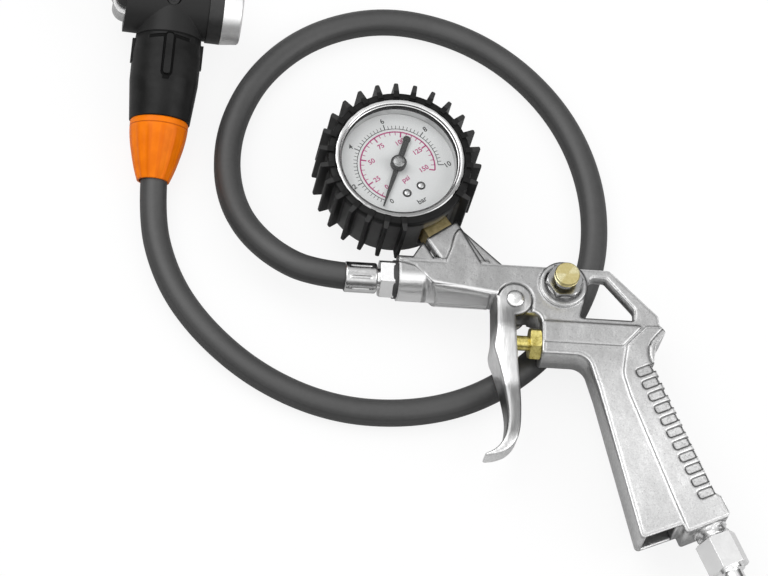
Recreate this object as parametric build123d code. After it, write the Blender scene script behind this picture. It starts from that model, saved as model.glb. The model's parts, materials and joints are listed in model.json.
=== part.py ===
from build123d import *
import os
from math import asin, atan2, cos, degrees, pi, radians, sin, sqrt, tan

# Portable tyre inflator: pistol-grip air valve gun with a dial gauge, a rubber hose and a lever chuck.
# Millimetres, +Z up.  The gun lies on its side on its own hose, and the chuck lies on the same surface.
# Gun frame: X runs back along the barrel, Y up the gun towards the gauge, Z out of its upper side;
# the trigger pivot is at 0, 0 and Z = 0 is the mid-plane of the casting.  The model's origin is the
# middle of the bottom of the gun and chuck together.

# ------------------------------------------------------------------ fits and clearances
RUN_FIT = 0.05          # radial play of a pin or stem that turns or slides
SLIP_FIT = 0.03         # radial play of pieces screwed or pressed together
AIR_GAP = 0.3           # between pieces that move past each other
SEAL_GAP = 0.1          # between a shut valve's washer and its seat

# ------------------------------------------------------------------ gun casting
MID_HEIGHT = 25.0       # mid-plane of the gun above the surface
FLAT_HALF = 10.5        # half the thickness over the flat sides
BARREL_Y = 11.3         # barrel axis
BARREL_R = 10.4         # turned nose of the barrel
BARREL_NOSE_X = -56.5
FRONT_R = 12.0          # round back of the casting behind the nose, cut by the flat sides
FRONT_END_X = -12.0
TOP_Y = 18.3            # flat top of the body
TOWER_X = -34.0         # front of the flat-topped part
CAST_ROUND = 1.2        # rounding of the casting's outer edges
LOOP_BACK_Z = 2.0       # back of the hanging loop, above the mid-plane
GROOVE_HALF_W = 0.45
GROOVE_DEPTH = 0.7
PANEL_RISE = 0.8        # raised side panel, and the grip's air tube, above the flat sides
LUG_R = 6.2             # pivot lug between the trigger's ears
LUG_HALF = 7.9
WEB_HALF = 2.6          # thin webs beside the gauge tower
WEB_W = 1.2             # web's crest beside the tower's top

# gauge tower, along the gauge's stem direction
GAUGE_X, GAUGE_Y = -57.8, 66.9
STEM_LEAN = degrees(atan2(0.577, 0.817))    # from +Y towards -X
STEM_SHOWN = 8.5        # gauge's case to the tower's top face
TOWER_W = 17.5
TOWER_HALF = 8.4

# trigger valve in the body
VALVE_Y = -18.5
HOUSING_X = 13.5        # front face of the valve housing
VALVE_BORE_R = 5.2
VALVE_BORE_END = 47.0
GLAND_HEX = 14.0
GLAND_HEX_L = 5.5
GLAND_SHANK_L = 7.5
STEM_R = 3.65
STEM_TIP_X = -5.1
STEM_THIN_R = 2.0
SEAT_X = 27.0
SEAT_L = 3.0
SEAT_BORE_R = 3.0
POPPET_R = 4.3
POPPET_L = 3.0
WASHER_T = 1.2
PACKING_R = 4.65
PACKING_L = 2.6
AIRWAY_R = 2.6
SPRING_COIL_R = 3.3      # closing spring behind the poppet
SPRING_WIRE_R = 0.4

# bleed valve on the upper side
BLEED_X, BLEED_Y = 23.4, 8.8
BLEED_BOSS_R = 11.6
BLEED_BOSS_RISE = 1.6
BLEED_SKIRT_R = 9.6     # round flange under the nut's hexagon
BLEED_SKIRT_H = 2.0
BLEED_HEX = 15.8
BLEED_HEX_H = 5.0       # with the skirt
BLEED_COLLAR_R = 4.6
BLEED_COLLAR_H = 1.2
BLEED_SHANK_R = 5.7
BLEED_SHANK_L = 8.0
BLEED_STEM_R = 1.5
BLEED_FLANGE_R = 3.8
BLEED_FLANGE_T = 1.0
BLEED_COIL_R = 2.9
BLEED_WIRE_R = 0.35
BUTTON_R = 6.1
BUTTON_H = 3.1
BUTTON_TRAVEL = 2.5

# grip and inlet
INLET_X, INLET_Y = 92.0, -111.6     # middle of the grip's lower rear face
GRIP_LEAN = 24.9        # grip axis from -Y towards +X
GRIP_REAR = 12.4        # air tube's lower face, behind and in front of its axis
GRIP_FRONT = 10.9
GRIP_BORE_R = 4.0
GRIP_WALL = 1.8         # walls beside the open pocket in the grip's end
INLET_THREAD_R = 6.4
INLET_THREAD_L = 13.0
INLET_SIDE = 3.0        # inlet's axis behind the middle of the grip's end
INLET_HEX = 18.5
INLET_HEX_L = 16.5
INLET_NECK_L = 6.0
PLUG_THREAD_R = 5.2
PLUG_THREAD_L = 9.0
PLUG_R = 6.0            # nipple of the quick coupler
PLUG_BARREL_R = 3.9
PLUG_BORE_R = 2.6
PLUG_L = 24.0
PAD_COUNT = 11
PAD_PITCH = 6.8
PAD_W = 4.6
PAD_L = 8.4
PAD_ROUND = 1.6
PAD_X, PAD_Y = 62.6, -34.4          # first finger pad's middle

# trigger
TRIGGER_HALF = 10.4
EAR_T = 2.2
EAR_R = 8.3
BLADE_ROUND = 1.4
PIVOT_R = 2.5
RIVET_HEAD_R = 4.6
RIVET_HEAD_H = 1.9

# outlet
NIPPLE_HEX = 17.0
NIPPLE_HEX_L = 7.3
NIPPLE_THREAD_R = 6.0
NIPPLE_THREAD_L = 11.0
NIPPLE_NECK_R = 5.0
NIPPLE_BORE_R = 2.6
BARB_L = 12.7
BARB_DEPTH = 0.5
FERRULE_INSET = 2.0     # hose's end behind the ferrule's shoulder
WASHER_L = 1.5
WASHER_R = 9.2
FERRULE_R = 7.45
FERRULE_L = 15.7
FERRULE_NECK_L = 1.2
HOSE_R = 6.65
HOSE_BORE_R = 4.0
BARB_R = 3.95

# gauge
CASE_R = 29.9
CASE_WALL = 1.0
BEZEL_R = CASE_R + 2.1
TOWER_REACH = CASE_R + STEM_SHOWN   # gauge centre to the tower's top face
BEZEL_FRONT_Z = 21.0
BEZEL_H = 7.4
BEZEL_OPENING_R = CASE_R - 1.0
CASE_BACK_Z = -12.2
BOOT_BACK_Z = -15.0
BOOT_FRONT_Z = 17.2
BOOT_R = CASE_R + 3.9
BOOT_LIP_R = BOOT_R + 1.6
BOOT_RIB_R = BOOT_R + 6.0
BOOT_RIBS = 26
RIB_FIRST = 93.4        # direction of one rib
RIB_T = 2.1
RIB_FREE_ANGLE = 14.0   # no ribs over the stem, this far to each side
BOOT_HOLE_R = 12.0      # open middle of the boot's back
BOOT_MOUTH_GAP = 1.6
LENS_T = 2.0
DIAL_Z = 12.0
DIAL_T = 0.6
DIAL_R = CASE_R - CASE_WALL - 0.7
SOCKET_W = 13.2
SOCKET_GAP = 0.6        # square's end to the case
SOCKET_BORE_R = 1.5
SOCKET_THREAD_R = 4.9
SOCKET_THREAD_L = 9.0
FRAME_L = 40.0          # movement's two plates
FRAME_W = 17.0
PLATE_T = 1.2
PLATE_GAP = 8.0
PILLAR_R = 1.7
SHAFT_R = 0.8
HUB_R = 3.8             # pointer's hub
PINION_TEETH = 10
SECTOR_SWING = 40.0
SECTOR_T = 1.6
SECTOR_HUB_R = 2.4
TAIL_L = 8.0
BLOCK_W = 9.0           # socket's block inside the case
BLOCK_H = 7.0
BLOCK_REACH = 12.0
BOURDON_R = CASE_R - CASE_WALL - 6.3
BOURDON_SPAN = 235.0
BOURDON_HALF_T = 1.3
BOURDON_HALF_W = 4.0
BOURDON_Z = -1.5
PINION_R = 1.9
SECTOR_R = 13.0
SCREW_R = 1.0
SCREW_HEAD_R = 1.9
TIP_REACH = DIAL_R - 4.2        # pointer's tip and tail from its shaft
TAIL_REACH = 14.5
POINTER_REST = -17.0    # the tip at zero, from -Y towards -X

# chuck
CHUCK_X, CHUCK_Y = -169.1, 151.8    # middle of the head
CHUCK_TURN = -3.8       # nozzle axis from +X
CHUCK_RISE = 11.0       # the handle climbs from the hose to the head
CHUCK_LEN = 90.2        # head axis to the collar's hose end
COLLAR_L = 30.0
COLLAR_RIM_R = 14.6
COLLAR_END_R = 7.9
HANDLE_R = 17.0
HANDLE_RIB_H = 1.0
HANDLE_RIB_W = 3.6
HANDLE_RIB_L = 21.0
HANDLE_RIB_Y = -29.5     # ribs' middle
SIDE_RIB_H = 0.6
SIDE_RIB_L = 12.0
HEAD_R = 15.4
HEAD_BACK_X = -23.0
HEAD_FRONT_X = 18.0
SLEEVE_R = 16.0
SLEEVE_L = 7.0
NOZZLE_L = 9.5
NOZZLE_TIP_R = 15.0
SEAL_R = 11.5
SEAL_BORE_R = 4.1
PLUNGER_R = 6.5
PLUNGER_FRONT_X = 21.4
PLUNGER_TRAVEL = 2.0
LEVER_PIN_X = -22.5
LEVER_PIN_R = 1.6
LEVER_HUB_R = 6.7
CHEEK_R = 6.0
CAM_GAP = 0.4           # cam to plunger, room for the cam's rise between its ends
PLUNGER_REAR_X = LEVER_PIN_X + LEVER_HUB_R + CAM_GAP
LEVER_HALF = 6.6
LEVER_LEAN = 30.0       # at rest, from +Y towards -X
LEVER_SWING = 60.0
LEVER_L = 44.0
TAIL_SHANK_R = 5.0
TAIL_SHANK_L = 11.0
CHEEK_T = 2.6
SLOT_FLOOR_X = LEVER_PIN_X + LEVER_HUB_R + PLUNGER_TRAVEL + AIR_GAP
PASSAGE_R = 3.0
RECESS_R = 3.8          # round recess on the head, with a screw in it
RECESS_Z = 10.4
SCREW_CAP_R = 2.9
DEPRESSOR_R = 1.1       # pin that opens the tyre valve
DEPRESSOR_FOOT_R = 2.57
DEPRESSOR_L = 34.0
PLUNGER_LIP = 3.0       # plunger's wider front
SPIGOT_R = 11.0         # handle's spigot inside the collar
SPIGOT_L = 12.0


# ------------------------------------------------------------------ helpers
def along(start, direction, piece):
    """Put a piece made along +Z so that it starts at a point and runs in a direction."""
    return Plane(origin=start, z_dir=direction) * piece


def rod(radius, length):
    """Round bar from Z = 0 upwards."""
    return Cylinder(radius, length, align=(Align.CENTER, Align.CENTER, Align.MIN))


def bar(width, depth, length):
    """Rectangular bar from Z = 0 upwards."""
    return Box(width, depth, length, align=(Align.CENTER, Align.CENTER, Align.MIN))


def turned(*profile):
    """Turned piece about Z from its (radius, height) outline."""
    outline = Polyline(*[(radius, 0, height) for radius, height in profile], close=True)
    return revolve(make_face(outline), Axis.Z)


def hexagon(flats, length, chamfer=0.7):
    """Hexagon bar with its corners turned off at both ends."""
    corner_r = flats / sqrt(3)
    blank = extrude(RegularPolygon(corner_r, 6), amount=length)
    drop = chamfer * 0.6
    cone = turned((0, 0), (corner_r - chamfer, 0), (corner_r, drop), (corner_r, length - drop),
                  (corner_r - chamfer, length), (0, length))
    return blank & cone


def plate(points, radii, half):
    """Flat plate about the mid-plane with rounded outline corners."""
    outline = FilletPolyline(*points, radius=radii, close=True)
    return extrude(make_face(outline), amount=half, both=True)


def ring(outer, inner, length):
    """Round ring from Z = 0 upwards."""
    return turned((inner, 0), (outer, 0), (outer, length), (inner, length))


def coil(radius, wire_r, height, turns):
    """Compression spring standing on Z = 0."""
    path = Helix(pitch=(height - 2 * wire_r) / turns, height=height - 2 * wire_r, radius=radius)
    wire = Plane(origin=path @ 0, z_dir=path % 0) * Circle(wire_r)
    return Pos(0, 0, wire_r) * sweep(wire, path=path)


def polar(radius, angle):
    return (radius * cos(radians(angle)), radius * sin(radians(angle)))


# ------------------------------------------------------------------ derived directions and places
STEM_DIR = (-sin(radians(STEM_LEAN)), cos(radians(STEM_LEAN)), 0)
STEM_SIDE = (cos(radians(STEM_LEAN)), sin(radians(STEM_LEAN)), 0)
STEM_DOWN_ANGLE = degrees(atan2(-STEM_DIR[1], -STEM_DIR[0]))
GRIP_DIR = (sin(radians(GRIP_LEAN)), -cos(radians(GRIP_LEAN)), 0)


def on_stem(reach, side=0.0, height=0.0):
    """Point on the gauge's stem line, measured back from the gauge's centre towards the body."""
    return (GAUGE_X - STEM_DIR[0] * reach + STEM_SIDE[0] * side,
            GAUGE_Y - STEM_DIR[1] * reach + STEM_SIDE[1] * side, height)


def from_inlet(distance, side=0.0):
    """Point on the grip's air tube; distance counts outwards from the grip's lower face."""
    return (INLET_X + GRIP_DIR[0] * distance - GRIP_DIR[1] * side,
            INLET_Y + GRIP_DIR[1] * distance + GRIP_DIR[0] * side, 0)


def on_inlet(distance):
    """Point on the inlet's own axis."""
    return from_inlet(distance, INLET_SIDE)


def stem_plane(reach):
    """Plane across the stem line, facing the gauge."""
    return Plane(origin=on_stem(reach), x_dir=STEM_SIDE, z_dir=STEM_DIR)


def square_on_stem(width, reach_from, reach_to):
    """Square bar about the stem line between two distances from the gauge's centre."""
    return stem_plane(reach_from) * bar(width, width, reach_from - reach_to)


# ------------------------------------------------------------------ gun casting
GRIP_END_REAR = from_inlet(0, GRIP_REAR)[:2]
GRIP_END_FRONT = from_inlet(0, -GRIP_FRONT)[:2]
BODY_OUTLINE = [
    (TOWER_X, TOP_Y), (46.5, TOP_Y), (70.2, -4.6), (70.8, -9.0), (74.0, -12.4), (68.6, -20.5),
    (67.4, -31.5), (95.8, -95.6), (99.0, -97.2), GRIP_END_REAR, GRIP_END_FRONT,
    from_inlet(-4.6, -GRIP_FRONT)[:2], (60.2, -120.4), (40.8, -44.0), (35.5, -26.6), (HOUSING_X, -26.6),
    (HOUSING_X, -5.2), (2.0, -5.2), (-3.0, 2.0), (TOWER_X, 5.2)]
BODY_RADII = [0.6, 3.0, 1.6, 1.2, 1.4, 6.0, 7.0, 1.0, 1.5, 1.8, 1.5, 0.8, 2.0, 12.0, 8.0, 1.2, 5.8, 1.0,
              1.0, 0.6]
WINDOW = [(37.2, 14.3), (44.8, 14.3), (58.8, -1.6), (58.4, -8.0), (31.2, -8.0)]
AIR_TUBE = [(64.0, -10.8), (70.4, -10.4), (74.0, -12.4), (68.6, -20.5), (67.4, -31.5), (95.8, -95.6),
            (99.0, -97.2), GRIP_END_REAR, GRIP_END_FRONT, (76.8, -103.0), (55.4, -47.5), (52.0, -36.0),
            (54.2, -21.4)]
AIR_TUBE_RADII = [1.0, 1.0, 1.4, 6.0, 7.0, 1.0, 1.5, 1.8, 1.5, 20, 12, 14, 3]
LOOP_RECESS = [(35.6, 20.0), (35.6, -5.4), (67.0, -5.4), (78.0, 2.0), (78.0, 20.0)]
TOWER_FLAT = [(-33.8, 16.0), (-33.8, 18.6), (-31.1, 25.5), (-29.2, 33.4), (-26.9, 36.4), (-16.7, 18.4),
              (-16.7, 16.0)]
SADDLE_GROOVE = [(72.2, -11.6), (69.4, -14.6), (66.6, -18.2), (65.0, -21.6), (65.0, -25.4), (66.4, -30.2)]
GRIP_HOLLOW = [(63.4, -124.0), (55.6, -93.0), (60.5, -86.0), (67.2, -86.5), (73.6, -102.0), (77.2, -112.5),
               (82.0, -124.0)]
SIDE_PANEL = [(HOUSING_X, -10.6), (62.2, -10.6), (52.4, -21.6), (HOUSING_X, -21.6)]


def softened(solid, size):
    """Round the outline edges of a flat plate on both of its faces."""
    faces = solid.edges().group_by(Axis.Z)
    return fillet(faces[0] + faces[-1], size)


def finger_pads(body):
    """Rounded hollows across the grip's rear edge, on both sides and round the back."""
    across = Plane(origin=(0, 0, 0), x_dir=(-GRIP_DIR[1], GRIP_DIR[0], 0), z_dir=(0, 0, 1))
    hollow = extrude(RectangleRounded(PAD_L, PAD_W, PAD_ROUND), amount=PANEL_RISE + 1)
    cuts = []
    for index in range(PAD_COUNT):
        middle = (PAD_X + GRIP_DIR[0] * PAD_PITCH * index, PAD_Y + GRIP_DIR[1] * PAD_PITCH * index)
        place = Pos(middle[0], middle[1], 0) * across.location
        cuts.append(place * Pos(0, 0, FLAT_HALF) * hollow)
        cuts.append(place * Pos(0, 0, -FLAT_HALF - PANEL_RISE - 1) * hollow)
        cuts.append(place * Pos(PAD_L / 2 + PAD_ROUND, 0, 0) * Box(3.0, PAD_W - 1.0, 3 * FLAT_HALF))
    return body - cuts


def casting_outside():
    body = softened(plate(BODY_OUTLINE, BODY_RADII, FLAT_HALF), CAST_ROUND)
    # the hanging loop is thinner than the body, flush with the upper side
    body -= plate(WINDOW, [3.0, 2.4, 3.0, 1.6, 1.6], 2 * FLAT_HALF)
    recess = make_face(FilletPolyline(*LOOP_RECESS, radius=[1, 4, 1, 1, 1], close=True))
    body -= Pos(0, 0, -FLAT_HALF - 1) * extrude(recess, amount=FLAT_HALF + 1 + LOOP_BACK_Z)
    # round front part with its slanting shoulder, and the turned nose
    nose_start = (BARREL_NOSE_X, BARREL_Y, 0)
    round_part = along(nose_start, (1, 0, 0), rod(FRONT_R, FRONT_END_X - BARREL_NOSE_X))
    shoulder = [(BARREL_NOSE_X, BARREL_Y + FRONT_R + 1), (BARREL_NOSE_X, TOP_Y - 0.8), (-49.0, 15.0),
                (-40.8, 6.4), (-36.6, -2.0), (FRONT_END_X, -2.0), (FRONT_END_X, BARREL_Y + FRONT_R + 1)]
    body += round_part & plate(shoulder, [0.5] * 7, FLAT_HALF)
    body += along(nose_start, (1, 0, 0), rod(BARREL_R, 30))
    # gauge tower and its two thin webs
    tower_foot = TOWER_REACH + 34
    tower = stem_plane(tower_foot) * bar(TOWER_W, 2 * TOWER_HALF, tower_foot - TOWER_REACH)
    tower -= Pos(0, -50 + BARREL_Y, 0) * Box(200, 100, 60)
    body += tower
    body += plate(TOWER_FLAT, [0.2, 0.8, 3.0, 3.0, 0.8, 0.8, 0.2], FLAT_HALF)
    crest = on_stem(TOWER_REACH, TOWER_W / 2 + WEB_W)
    body += plate([crest[:2], (-1.5, TOP_Y), (-1.5, TOP_Y - 4), (-30, TOP_Y - 4)], [0.8] * 4, WEB_HALF)
    brow = on_stem(TOWER_REACH + 4, -TOWER_W / 2)
    body += plate([brow[:2], (-30, 20), (-47.5, 20)], [0.8] * 3, WEB_HALF)
    # raised side panel, air tube of the grip, bleed valve boss, pivot lug
    body += plate(SIDE_PANEL, [0.8] * 4, FLAT_HALF + PANEL_RISE)
    body += softened(plate(AIR_TUBE, AIR_TUBE_RADII, FLAT_HALF + PANEL_RISE), 0.7)
    body += Pos(BLEED_X, BLEED_Y, 0) * rod(BLEED_BOSS_R, FLAT_HALF + BLEED_BOSS_RISE)
    body += Cylinder(LUG_R, 2 * LUG_HALF)
    # groove round the saddle above the finger pads
    sides = [(x - GROOVE_HALF_W, y) for x, y in SADDLE_GROOVE]
    sides += [(x + GROOVE_HALF_W, y) for x, y in reversed(SADDLE_GROOVE)]
    groove = extrude(make_face(Polyline(*sides, close=True)), amount=GROOVE_DEPTH + 1)
    body -= Pos(0, 0, FLAT_HALF + PANEL_RISE - GROOVE_DEPTH) * groove
    body -= Pos(0, 0, -FLAT_HALF - PANEL_RISE - 1) * groove
    return finger_pads(body)


def gun_body():
    body = casting_outside()
    # room for the trigger's ears, over their whole swing
    ear_room = Cylinder(EAR_R + 0.5, 10) + Pos(-2.0, -8, 0) * Box(21.0, 16, 10)
    body -= Pos(0, 0, LUG_HALF + 5) * ear_room
    body -= Pos(0, 0, -LUG_HALF - 5) * ear_room
    body -= Cylinder(PIVOT_R + SLIP_FIT, 3 * FLAT_HALF)
    # valve bore, airway up to the bleed valve, and the outlet
    body -= along((HOUSING_X, VALVE_Y, 0), (1, 0, 0), rod(VALVE_BORE_R, VALVE_BORE_END - HOUSING_X))
    body -= along((BLEED_X, VALVE_Y, 0), (0, 1, 0), rod(AIRWAY_R, BARREL_Y - VALVE_Y))
    outlet = (BARREL_NOSE_X, BARREL_Y, 0)
    body -= along(outlet, (1, 0, 0), rod(AIRWAY_R, BLEED_X - BARREL_NOSE_X))
    body -= along(outlet, (1, 0, 0), rod(NIPPLE_THREAD_R + SLIP_FIT, NIPPLE_THREAD_L + 1))
    # bleed valve seat
    boss_top = FLAT_HALF + BLEED_BOSS_RISE
    body -= Pos(BLEED_X, BLEED_Y, boss_top - BLEED_SHANK_L) * rod(BLEED_SHANK_R + SLIP_FIT, BLEED_SHANK_L)
    body -= Pos(BLEED_X, BLEED_Y, -3) * rod(BLEED_COLLAR_R, boss_top + 3 - BLEED_SHANK_L)
    # gauge port
    port = Plane(origin=on_stem(TOWER_REACH), z_dir=tuple(-v for v in STEM_DIR))
    body -= port * rod(SOCKET_THREAD_R + SLIP_FIT, SOCKET_THREAD_L + 1)
    body -= port * rod(AIRWAY_R - 0.4, 32)
    # air tube of the grip, and the open hollow in front of it
    inwards = tuple(-v for v in GRIP_DIR)
    body -= along(on_inlet(0), inwards, rod(INLET_THREAD_R + SLIP_FIT, INLET_THREAD_L + 1))
    tube_length = sqrt((INLET_X - VALVE_BORE_END) ** 2 + (INLET_Y - VALVE_Y) ** 2)
    tube_end = Vector(VALVE_BORE_END - 2, VALVE_Y, 0) - Vector(*on_inlet(0))
    body -= along(on_inlet(0), tube_end, rod(GRIP_BORE_R, tube_end.length))
    body -= plate(GRIP_HOLLOW, [1, 3, 2.5, 2.5, 10, 4, 1], FLAT_HALF - GRIP_WALL)
    return body


# ------------------------------------------------------------------ trigger and its valve
def trigger():
    rear = Spline((0.4, -7.4), (1.5, -34.5), (3.3, -60.0), (2.4, -71.0), (-8.5, -83.4),
                  tangents=[(0.05, -1), (-1, -0.12)])
    tip = ThreePointArc((-8.5, -83.4), (-14.0, -81.6), (-13.4, -76.4))
    front = Spline((-13.4, -76.4), (-5.6, -68.5), (-3.9, -56.0), (-8.6, -32.0), (-11.2, -24.5),
                   (-9.4, -15.0), (-9.6, 2.4), tangents=[(1, 0.25), (-0.02, 1)])
    top = Polyline((-9.6, 2.4), (-6.2, 2.4), (-6.2, -5.0), (0.4, -7.4))
    outline = make_face([*rear.edges(), *tip.edges(), *front.edges(), *top.edges()])
    blade = extrude(outline, amount=TRIGGER_HALF, both=True)
    rear_rims = blade.edges().filter_by(
        lambda edge: edge.length > 25 and edge.center().X > -1 and abs(edge.center().Z) > 1)
    blade = fillet(rear_rims, BLADE_ROUND)
    ears = Cylinder(EAR_R, 2 * TRIGGER_HALF) + Pos(-3.6, -9, 0) * Box(7.8, 18, 2 * TRIGGER_HALF)
    lever = blade + ears
    # channel between the ears for the lug and the valve stem
    inner = TRIGGER_HALF - EAR_T
    wall_x = STEM_TIP_X - AIR_GAP
    lever -= plate([(wall_x, -36.0), (wall_x, -12.0), (wall_x - 1.5, -6.0), (wall_x - 1.5, 12.0),
                    (16.0, 12.0), (16.0, -36.0)], [2.0, 1.0, 1.0, 0.5, 0.5, 0.5], inner)
    # the front wall ends below the barrel
    lever -= Pos(-6, 2 + EAR_R / 2 + 1, 0) * Box(16, EAR_R + 2, 2 * inner)
    return lever - Cylinder(PIVOT_R + RUN_FIT, 3 * TRIGGER_HALF)


def trigger_rivet():
    length = 2 * (TRIGGER_HALF + SEAL_GAP)
    head = turned((0, 0), (RIVET_HEAD_R, 0), (RIVET_HEAD_R, RIVET_HEAD_H * 0.45),
                  (RIVET_HEAD_R * 0.82, RIVET_HEAD_H * 0.85), (RIVET_HEAD_R * 0.5, RIVET_HEAD_H),
                  (0, RIVET_HEAD_H))
    upper = Pos(0, 0, length / 2) * head
    return Cylinder(PIVOT_R, length) + upper + mirror(upper, Plane.XY)


def on_valve(x, piece):
    """Put a piece made along +Z on the valve's axis, from x backwards."""
    return along((x, VALVE_Y, 0), (1, 0, 0), piece)


GLAND_X = HOUSING_X - GLAND_HEX_L


def valve_gland():
    gland = on_valve(GLAND_X, Rotation(0, 0, 30) * hexagon(GLAND_HEX, GLAND_HEX_L))
    gland += on_valve(HOUSING_X, rod(VALVE_BORE_R - SLIP_FIT, GLAND_SHANK_L))
    gland -= on_valve(GLAND_X - 1, rod(STEM_R + RUN_FIT, GLAND_HEX_L + GLAND_SHANK_L + 2))
    return gland - on_valve(HOUSING_X + GLAND_SHANK_L - PACKING_L, rod(PACKING_R, PACKING_L + 1))


def stem_packing():
    return on_valve(HOUSING_X + GLAND_SHANK_L - PACKING_L, ring(PACKING_R, STEM_R + RUN_FIT, PACKING_L))


POPPET_X = SEAT_X + SEAT_L + SEAL_GAP


def valve_stem():
    shoulder_x = HOUSING_X + GLAND_SHANK_L
    reach = shoulder_x - STEM_TIP_X
    stem = on_valve(STEM_TIP_X, turned(
        (0, 0), (1.3, 0.05), (2.7, 0.6), (STEM_R, 1.6), (STEM_R, reach), (0, reach)))
    stem += on_valve(shoulder_x, rod(STEM_THIN_R, POPPET_X + WASHER_T + POPPET_L - shoulder_x))
    return stem + on_valve(POPPET_X + WASHER_T, rod(POPPET_R, POPPET_L))


def poppet_washer():
    return on_valve(POPPET_X, ring(POPPET_R - 0.1, STEM_THIN_R + SLIP_FIT, WASHER_T))


def valve_seat():
    return on_valve(SEAT_X, ring(VALVE_BORE_R - SLIP_FIT, SEAT_BORE_R, SEAT_L))


def valve_spring():
    start = POPPET_X + WASHER_T + POPPET_L
    return on_valve(start, coil(SPRING_COIL_R, SPRING_WIRE_R, VALVE_BORE_END - start, 6))


# ------------------------------------------------------------------ bleed valve
BOSS_TOP = FLAT_HALF + BLEED_BOSS_RISE
BUTTON_GAP = BUTTON_TRAVEL + AIR_GAP
BLEED_TOP = BOSS_TOP + BLEED_HEX_H + BLEED_COLLAR_H


def on_bleed(z, piece):
    return Pos(BLEED_X, BLEED_Y, z) * piece


def bleed_nut():
    nut = on_bleed(BOSS_TOP, Rotation(0, 0, 4) * hexagon(BLEED_HEX, BLEED_HEX_H))
    nut += on_bleed(BOSS_TOP, turned((0, 0), (BLEED_SKIRT_R, 0), (BLEED_SKIRT_R, BLEED_SKIRT_H * 0.4),
                                     (BLEED_SKIRT_R - 1.2, BLEED_SKIRT_H), (0, BLEED_SKIRT_H)))
    nut += on_bleed(BOSS_TOP, rod(BLEED_COLLAR_R, BLEED_HEX_H + BLEED_COLLAR_H))
    nut += on_bleed(BOSS_TOP - BLEED_SHANK_L, rod(BLEED_SHANK_R, BLEED_SHANK_L))
    return nut - on_bleed(BOSS_TOP - BLEED_SHANK_L - 1, rod(BLEED_STEM_R + RUN_FIT, 40))


def bleed_button():
    seat_z = BOSS_TOP - BLEED_SHANK_L - SEAL_GAP - WASHER_T
    head = turned((0, 0), (BUTTON_R - 0.5, 0), (BUTTON_R, 0.3), (BUTTON_R, 0.9), (BUTTON_R - 0.5, 1.1),
                  (BUTTON_R - 0.5, 1.5), (BUTTON_R, 1.7), (BUTTON_R, BUTTON_H - 0.5),
                  (BUTTON_R - 0.5, BUTTON_H), (0, BUTTON_H))
    button = on_bleed(BLEED_TOP + BUTTON_GAP, head)
    flange_z = seat_z - BLEED_FLANGE_T
    button += on_bleed(flange_z, rod(BLEED_STEM_R, BLEED_TOP + BUTTON_GAP - flange_z))
    return button + on_bleed(flange_z, rod(BLEED_FLANGE_R, BLEED_FLANGE_T))


def bleed_washer():
    seat_z = BOSS_TOP - BLEED_SHANK_L - SEAL_GAP - WASHER_T
    return on_bleed(seat_z, ring(BLEED_FLANGE_R - 0.1, BLEED_STEM_R + SLIP_FIT, WASHER_T))


def bleed_spring():
    return on_bleed(BLEED_TOP, coil(BLEED_COIL_R, BLEED_WIRE_R, BUTTON_GAP, 2))


# ------------------------------------------------------------------ inlet
def inlet_adapter():
    adapter = along(on_inlet(0), tuple(-v for v in GRIP_DIR), rod(INLET_THREAD_R, INLET_THREAD_L))
    adapter += along(on_inlet(0), GRIP_DIR, turned(
        (0, 0), (INLET_HEX / 2 - 0.8, 0), (INLET_HEX / 2 - 0.8, 1.2), (INLET_THREAD_R + 0.6, 1.6),
        (INLET_THREAD_R + 0.6, INLET_NECK_L), (0, INLET_NECK_L)))
    adapter += along(on_inlet(INLET_NECK_L), GRIP_DIR, hexagon(INLET_HEX, INLET_HEX_L))
    adapter -= along(on_inlet(-INLET_THREAD_L - 1), GRIP_DIR, rod(GRIP_BORE_R, 60))
    plug_hole = rod(PLUG_THREAD_R + SLIP_FIT, PLUG_THREAD_L)
    return adapter - along(on_inlet(INLET_NECK_L + INLET_HEX_L), tuple(-v for v in GRIP_DIR), plug_hole)


def inlet_plug():
    waist_r, tail_r = PLUG_R - 0.5, PLUG_BARREL_R + 0.3
    plug = turned((PLUG_BORE_R, -PLUG_THREAD_L), (PLUG_THREAD_R, -PLUG_THREAD_L), (PLUG_THREAD_R, 0),
                  (PLUG_R + 1.2, 0), (PLUG_R + 1.2, 1.6), (waist_r, 2.0), (waist_r, 6.5), (PLUG_R, 7.2),
                  (PLUG_R, 9.6), (tail_r, 11.4), (tail_r, 14.6), (PLUG_R - 0.4, 16.4), (PLUG_R - 0.4, 17.8),
                  (PLUG_BARREL_R, 19.6), (PLUG_BARREL_R, PLUG_L), (PLUG_BORE_R, PLUG_L))
    return along(on_inlet(INLET_NECK_L + INLET_HEX_L), GRIP_DIR, plug)


# ------------------------------------------------------------------ outlet and ferrule
NIPPLE_X = BARREL_NOSE_X - WASHER_L         # nut's face against the washer
FERRULE_END_X = NIPPLE_X - NIPPLE_HEX_L - FERRULE_NECK_L
HOSE_START_X = FERRULE_END_X - FERRULE_INSET
FERRULE_MOUTH_X = FERRULE_END_X - FERRULE_L


def on_barrel(x, piece):
    """Put a piece made along +Z on the barrel's axis, from x forwards."""
    return along((x, BARREL_Y, 0), (-1, 0, 0), piece)


def barbs(length, count):
    """Hose tail from Z = 0 with saw-tooth rings."""
    pitch = length / count
    tail = turned(*[(NIPPLE_BORE_R, 0)], *[point for index in range(count) for point in
                    ((BARB_R, index * pitch), (BARB_R - BARB_DEPTH, (index + 1) * pitch - 0.01))],
                  (NIPPLE_BORE_R, length))
    return tail


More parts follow.
